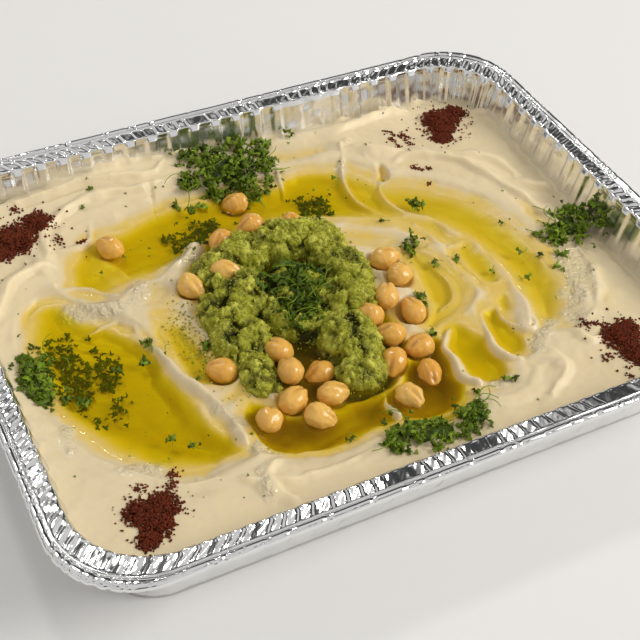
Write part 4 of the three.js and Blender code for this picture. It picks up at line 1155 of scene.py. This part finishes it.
def speckle(tree, size, detail):
    """Noise with features of a size in metres, on object coordinates."""
    place = add(tree, "TexCoord").outputs["Object"]
    return add(tree, "TexNoise", {"Vector": place, "Scale": 1 / size, "Detail": detail}).outputs["Fac"]


def mottled(tree, base, patch, size, detail, low, high, share=1.0):
    """A base colour with patches of another, where a speckle goes from low to high."""
    return blended(tree, ranged(tree, speckle(tree, size, detail), low, high, 0.0, share), base, patch)


def number(tree, name):
    """A number that the mesh carries at each point."""
    return add(tree, "Attribute", attribute_name=name).outputs["Fac"]


def math(tree, operation, a, b):
    return add(tree, "Math", {0: a, 1: b}, operation=operation).outputs[0]


def product(tree, a, b):
    return math(tree, "MULTIPLY", a, b)


def raised_by(tree, height, distance, strength=1.0):
    """A normal tilted by relief of up to a distance in metres."""
    return add(tree, "Bump", {"Height": height, "Distance": distance, "Strength": strength}).outputs["Normal"]


def skin(tree, base, rough, inputs=None):
    """A surface from its colour, its roughness and what else it needs."""
    return add(tree, "BsdfPrincipled", {"Base Color": base, "Roughness": rough, **(inputs or {})}).outputs[0]


def creased_foil(tree, colours):
    """Bright foil with creases on its walls, smoother on the rim."""
    tone = blended(tree, speckle(tree, 0.02, 2.0), tuple(0.93 * c for c in colours.foil), colours.foil)
    height = add(tree, "SeparateXYZ", {0: add(tree, "TexCoord").outputs["Object"]}).outputs["Z"]
    below = (RIM - 3) * MM
    rough = ranged(tree, height, below, RIM * MM, 0.25, 0.13)
    wall = ranged(tree, height, below, (RIM - 1) * MM, 1.0, 0.2)
    creases = raised_by(tree, product(tree, speckle(tree, 0.011, 1.0), wall), 0.0016, 0.8)
    return skin(tree, tone, rough, {"Metallic": 1.0, "Normal": creases})


def paste(tree, colours):
    """A smooth paste: paler on its crests and darker in its hollows, which is painted light and shade,
    yellower where oil has soaked in, wet in patches.
    """
    # Painted light and shade: the crest colour on raised parts, the hollow colour on low ones.
    crest = ranged(tree, number(tree, "crest"), -2.0, 2.5)
    base = blended(tree, crest, colours.hummus_hollow_shade_and_mottle, colours.hummus_crest_light)
    base = blended(tree, number(tree, "soaked"), base, colours.hummus_soaked)
    # Random patches of the hollow colour, as tone of the paste.
    base = mottled(tree, base, colours.hummus_hollow_shade_and_mottle, 0.012, 4.0, 0.35, 0.7, 0.18)
    wet = number(tree, "wet")
    base = blended(tree, product(tree, wet, 0.18), base, colours.hummus_wet)
    damp = math(tree, "MAXIMUM", wet, product(tree, number(tree, "soaked"), 0.3))
    rough = ranged(tree, damp, 0.0, 0.8, 0.46, 0.09)
    fine = raised_by(tree, speckle(tree, 0.0016, 3.0), 0.00022, 0.6)
    crackle = raised_by(tree, product(tree, speckle(tree, 0.003, 2.0), wet), 0.0026)
    grain = add(tree, "Mix", {0: wet, 4: fine, 5: crackle}, data_type="VECTOR").outputs[1]
    return skin(tree, base, rough, {"Normal": grain, "Subsurface Weight": 0.2, "Subsurface Scale": 0.004,
                                    "Subsurface Radius": (1.0, 0.7, 0.35)})


def clear_oil(tree, colours):
    """Oil that tints what lies under it by its depth, with a clear gloss; in the near pool that depth is
    scaled up as painted shade. Light crosses its top and its bottom, so each counts for half of the depth."""
    depth = product(tree, number(tree, "depth"), 0.5)
    red, green, blue = (math(tree, "POWER", kept, depth) for kept in colours.oil_kept_per_mm)
    tint = add(tree, "CombineColor", {"Red": red, "Green": green, "Blue": blue}).outputs[0]
    clear = add(tree, "BsdfTransparent", {"Color": tint}).outputs[0]
    cloud = add(tree, "BsdfDiffuse", {"Color": (*colours.oil, 1)}).outputs[0]
    haze = ranged(tree, number(tree, "depth"), 0.5, 5.0, 0.0, 0.1)
    body = add(tree, "MixShader", {0: haze, 1: clear, 2: cloud}).outputs[0]
    gloss = add(tree, "BsdfGlossy", {"Color": (1, 1, 1, 1), "Roughness": 0.02}).outputs[0]
    outside = math(tree, "SUBTRACT", 1.0, add(tree, "NewGeometry").outputs["Backfacing"])
    edge = product(tree, add(tree, "Fresnel", {"IOR": 1.47}).outputs[0], outside)
    return add(tree, "MixShader", {0: edge, 1: body, 2: gloss}).outputs[0]


def chickpea_skin(tree, colours):
    """Glossy skin, paler or browner from one to the next, darker in the cleft by painted shade."""
    base = blended(tree, number(tree, "tint"), colours.chickpea_pale, colours.chickpea)
    base = mottled(tree, base, colours.chickpea_pale, 0.003, 3.0, 0.4, 0.7, 0.3)
    # Painted shade in the cleft.
    base = blended(tree, product(tree, number(tree, "cleft"), 0.5), base, colours.chickpea_cleft_shade)
    fine = raised_by(tree, speckle(tree, 0.0018, 2.0), 0.0002, 0.5)
    return skin(tree, base, 0.22, {"Normal": fine, "Subsurface Weight": 0.25, "Subsurface Scale": 0.003,
                                   "Subsurface Radius": (1.0, 0.6, 0.3)})


def crushed_greens(tree, colours):
    """Crushed greens, from yellow-green on the grains to nearly black between them and in the pits, which is
    painted shade.
    """
    base = blended(tree, number(tree, "tint"), colours.mash, colours.mash_light)
    base = mottled(tree, base, colours.mash, 0.006, 2.0, 0.42, 0.6)
    base = mottled(tree, base, colours.mash_light, 0.0011, 3.0, 0.5, 0.72, 0.7)
    # Painted shade between the grains and in the pits.
    base = blended(tree, ranged(tree, number(tree, "deep"), 0.35, 0.95), base, colours.mash_shade)
    wet = raised_by(tree, speckle(tree, 0.0008, 3.0), 0.0005, 0.9)
    return skin(tree, base, 0.2, {"Specular IOR Level": 0.14, "Normal": wet})


def leaf_green(tree, colours):
    """Leaves, lighter or darker from one to the next, with darker patches."""
    base = blended(tree, number(tree, "shade"), colours.parsley_dark, colours.parsley)
    base = mottled(tree, base, colours.parsley_dark, 0.001, 2.0, 0.4, 0.8, 0.4)
    return skin(tree, base, 0.4, {"Specular IOR Level": 0.2})


def ground_sumac(tree, colours):
    """Dull grains, lighter or darker from one to the next."""
    base = blended(tree, number(tree, "shade"), colours.sumac_dark, colours.sumac)
    base = mottled(tree, base, colours.sumac, 0.0008, 2.0, 0.4, 0.7)
    return skin(tree, base, 0.8, {"Specular IOR Level": 0.15})


def plain_table(tree, colours):
    return skin(tree, (*colours.table, 1), 0.8)


# ---- Settings ----


def colour(name, description, *default):
    return FloatVectorProperty(name=name, description=description, default=default, subtype="COLOR", size=3,
                               min=0, max=1)


def length(name, description, default, least=0):
    return FloatProperty(name=name, description=description, default=default, min=least, unit="LENGTH")


class HummusSizes(bpy.types.PropertyGroup):
    cell: length("Grid", "Spacing of the dip's surface points", 0.00092, 0.0005)
    furrow: length("Furrows", "Height of the fine lines along the spoon's strokes", 0.00062)
    crease: length("Pleats", "Height of the pleats pressed into the rim", 0.0007)
    wrinkle: length("Wrinkles", "Depth of the wrinkles in a chickpea's skin", 0.00045)
    mash_cell: length("Mash grid", "Spacing of the mash's surface points", 0.00042, 0.0003)
    mash_grain: length("Mash grains", "Size of the largest grains of the mash", 0.0019, 0.001)
    flute_steps: IntProperty(name="Steps in a flute", description="Points round the tray for each flute",
                             default=16, min=8)
    many: FloatProperty(name="Garnish", description="How much chopped parsley and sumac there is",
                        default=1.0, min=0.1, subtype="FACTOR")


class HummusColours(bpy.types.PropertyGroup):
    foil: colour("Foil", "Rolled aluminium", 0.90, 0.90, 0.90)
    # The crest and hollow colours of the dip are painted light and shade: paler where it is raised, darker
    # where it is low.
    hummus_crest_light: colour("Hummus crests", "Raised parts of the dip", 0.81, 0.67, 0.42)
    hummus_hollow_shade_and_mottle: colour("Hummus", "Hollow parts of the dip", 0.67, 0.545, 0.33)
    hummus_wet: colour("Wet hummus", "Dip under a film of water", 0.62, 0.58, 0.45)
    hummus_soaked: colour("Soaked hummus", "Dip beside the oil", 0.72, 0.49, 0.06)
    oil: colour("Oil haze", "What deep oil scatters back", 0.38, 0.28, 0.005)
    oil_kept_per_mm: colour("Oil", "Part of red, green and blue kept by each millimetre", 0.95, 0.936, 0.24)
    chickpea: colour("Chickpea", "Skin", 0.70, 0.34, 0.045)
    chickpea_pale: colour("Pale chickpea", "Skin where it is paler", 0.82, 0.50, 0.12)
    # The cleft colour is painted shade.
    chickpea_cleft_shade: colour("Chickpea cleft", "Skin in the cleft", 0.40, 0.16, 0.025)
    mash_light: colour("Mash light", "Lightest grains", 0.60, 0.58, 0.09)
    mash: colour("Mash", "Grains", 0.27, 0.275, 0.018)
    # The dark colour of the mash is painted shade.
    mash_shade: colour("Mash dark", "Between the grains", 0.035, 0.036, 0.002)
    parsley: colour("Parsley", "Lighter leaves", 0.22, 0.32, 0.016)
    parsley_dark: colour("Parsley dark", "Darker leaves", 0.04, 0.07, 0.003)
    sumac: colour("Sumac", "Lighter grains", 0.17, 0.030, 0.009)
    sumac_dark: colour("Sumac dark", "Darker grains", 0.028, 0.006, 0.002)
    table: colour("Table", "Pale table under the tray", 0.80, 0.79, 0.77)


class Maker:
    """What the operators share: undo, and the settings of the scene."""

    bl_options = {"REGISTER", "UNDO"}

    def execute(self, context):
        self.build(context.scene.hummus_sizes, context.scene.hummus_colours)
        return {"FINISHED"}


class HUMMUS_OT_tray(Maker, bpy.types.Operator):
    """Build the fluted foil tray"""

    bl_idname = "hummus.tray"
    bl_label = "Foil tray"

    def build(self, sizes, colours):
        piece = make_tray(sizes.flute_steps, sizes.crease / MM)
        dress(piece, "foil", made_of("foil", creased_foil, colours), "foil_tray")


class HUMMUS_OT_spread(Maker, bpy.types.Operator):
    """Build the swirled dip"""

    bl_idname = "hummus.spread"
    bl_label = "Hummus"

    def build(self, sizes, colours):
        dress(make_spread(), "hummus", made_of("hummus", paste, colours), "hummus")


class HUMMUS_OT_oil(Maker, bpy.types.Operator):
    """Pour the oil into the dip's hollows"""

    bl_idname = "hummus.oil"
    bl_label = "Oil"

    def build(self, sizes, colours):
        material = made_of("oil", clear_oil, colours)
        for name in HOLLOWS:
            dress(make_oil(name), "oil", material, name)


class HUMMUS_OT_chickpeas(Maker, bpy.types.Operator):
    """Build the whole chickpeas"""

    bl_idname = "hummus.chickpeas"
    bl_label = "Chickpeas"

    def build(self, sizes, colours):
        material = made_of("chickpea", chickpea_skin, colours)
        for k, middle in enumerate(chickpea_middles()):
            dress(make_chickpea(k, middle, sizes.wrinkle / MM), "chickpea", material, CHICKPEAS[k])


class HUMMUS_OT_mash(Maker, bpy.types.Operator):
    """Build the mound of green mash"""

    bl_idname = "hummus.mash"
    bl_label = "Green mash"

    def build(self, sizes, colours):
        piece = make_mash(sizes.mash_cell / MM, sizes.mash_grain / MM)
        dress(piece, "mash", made_of("mash", crushed_greens, colours), "green_mash")


class HUMMUS_OT_parsley(Maker, bpy.types.Operator):
    """Heap and strew the chopped parsley"""

    bl_idname = "hummus.parsley"
    bl_label = "Parsley"

    def build(self, sizes, colours):
        material = made_of("parsley", leaf_green, colours)
        for name in PARSLEY:
            dress(make_parsley(name, sizes.many), "parsley", material, name)
        dress(make_sprigs(), "parsley", material)


class HUMMUS_OT_sumac(Maker, bpy.types.Operator):
    """Sprinkle the ground sumac"""

    bl_idname = "hummus.sumac"
    bl_label = "Sumac"

    def build(self, sizes, colours):
        material = made_of("sumac", ground_sumac, colours)
        for name in SUMAC:
            dress(make_sumac(name, sizes.many), "sumac", material, name)


class HUMMUS_OT_stage(Maker, bpy.types.Operator):
    """Set the table, the light and the camera"""

    bl_idname = "hummus.stage"
    bl_label = "Table, light and camera"

    def build(self, sizes, colours):
        make_table(colours)
        make_world()
        make_lamp("key_light", (2.25, -1.35, 1.95), 1.7, 73.0)
        make_lamp("window", (0.0, 1.25, 1.9), 0.3, 7.0)
        make_camera()
        bpy.context.scene.view_settings.view_transform = "Standard"


def make_table(colours):
    """A flat square, four metres from its middle to each side."""
    half = 4000
    corners = np.array([(-half, -half, -RIM), (half, -half, -RIM), (half, half, -RIM), (-half, half, -RIM)])
    table = mesh_piece("table", corners, [np.array([[0, 1, 2, 3]])], flat=True)
    table.data.materials.append(made_of("table", plain_table, colours))


def make_world():
    """A pale room for foil and oil to mirror, with a dark doorway and darker patches over the horizon."""
    world = bpy.data.worlds.new("room")
    bpy.context.scene.world = world
    world.use_nodes = True
    tree = world.node_tree
    tree.nodes.clear()
    way = add(tree, "TexCoord").outputs["Generated"]
    patches = add(tree, "TexNoise", {"Vector": way, "Scale": 2.3, "Detail": 1.0}).outputs["Fac"]
    up = add(tree, "SeparateXYZ", {0: way}).outputs["Z"]
    bright = math(tree, "MAXIMUM", ranged(tree, patches, 0.42, 0.48), ranged(tree, up, 0.06, 0.16, 1.0, 0.0))
    facing = add(tree, "VectorMath", {0: way, 1: DOORWAY}, operation="DOT_PRODUCT").outputs["Value"]
    glow = product(tree, bright, ranged(tree, facing, 0.90, 0.965, 1.0, 0.0))
    light = blended(tree, glow, (0.07, 0.07, 0.07), (1.0, 0.99, 0.97))
    room = add(tree, "Background", {"Color": light, "Strength": 0.66})
    add(tree, "OutputWorld", {"Surface": room.outputs[0]})


def make_lamp(name, place, size, power):
    """A round lamp at a place, in metres, that faces the tray."""
    lamp = bpy.data.lights.new(name, "AREA")
    lamp.shape, lamp.size, lamp.energy = "DISK", size, power
    lamp.color = (1.0, 0.985, 0.96)
    holder = bpy.data.objects.new(name, lamp)
    holder.location = place
    holder.rotation_euler = (-Vector(place)).to_track_quat("-Z", "Y").to_euler()
    bpy.context.scene.collection.objects.link(holder)


def make_camera():
    """The camera over the near left corner, looking down across the tray."""
    camera = bpy.data.cameras.new("camera")
    camera.sensor_width, camera.lens = 36.0, 69.83
    holder = bpy.data.objects.new("camera", camera)
    yaw, pitch, roll = np.radians(CAMERA_TURN)
    turned = Matrix.Rotation(-yaw, 4, "Z") @ Matrix.Rotation(np.pi / 2 - pitch, 4, "X")
    holder.matrix_world = Matrix.Translation(CAMERA_PLACE) @ turned @ Matrix.Rotation(-roll, 4, "Z")
    bpy.context.scene.collection.objects.link(holder)
    bpy.context.scene.camera = holder


class HUMMUS_PT_panel(bpy.types.Panel):
    bl_idname = "HUMMUS_PT_panel"
    bl_label = "Hummus in a foil tray"
    bl_space_type = "VIEW_3D"
    bl_region_type = "UI"
    bl_category = "Hummus"

    def draw(self, context):
        for group in (context.scene.hummus_sizes, context.scene.hummus_colours):
            column = self.layout.column()
            for key in group.__annotations__:
                column.prop(group, key)
        for maker in MAKERS:
            self.layout.operator(maker.bl_idname)


MAKERS = (HUMMUS_OT_tray, HUMMUS_OT_spread, HUMMUS_OT_oil, HUMMUS_OT_chickpeas, HUMMUS_OT_mash,
          HUMMUS_OT_parsley, HUMMUS_OT_sumac, HUMMUS_OT_stage)
CLASSES = (HummusSizes, HummusColours, *MAKERS, HUMMUS_PT_panel)


def register():
    for each in CLASSES:
        bpy.utils.register_class(each)
    bpy.types.Scene.hummus_sizes = PointerProperty(type=HummusSizes)
    bpy.types.Scene.hummus_colours = PointerProperty(type=HummusColours)


def unregister():
    del bpy.types.Scene.hummus_colours
    del bpy.types.Scene.hummus_sizes
    for each in reversed(CLASSES):
        bpy.utils.unregister_class(each)


def main():
    register()
    for make in (bpy.ops.hummus.tray, bpy.ops.hummus.spread, bpy.ops.hummus.oil, bpy.ops.hummus.chickpeas,
                 bpy.ops.hummus.mash, bpy.ops.hummus.parsley, bpy.ops.hummus.sumac, bpy.ops.hummus.stage):
        make()


if __name__ == "__main__":
    main()
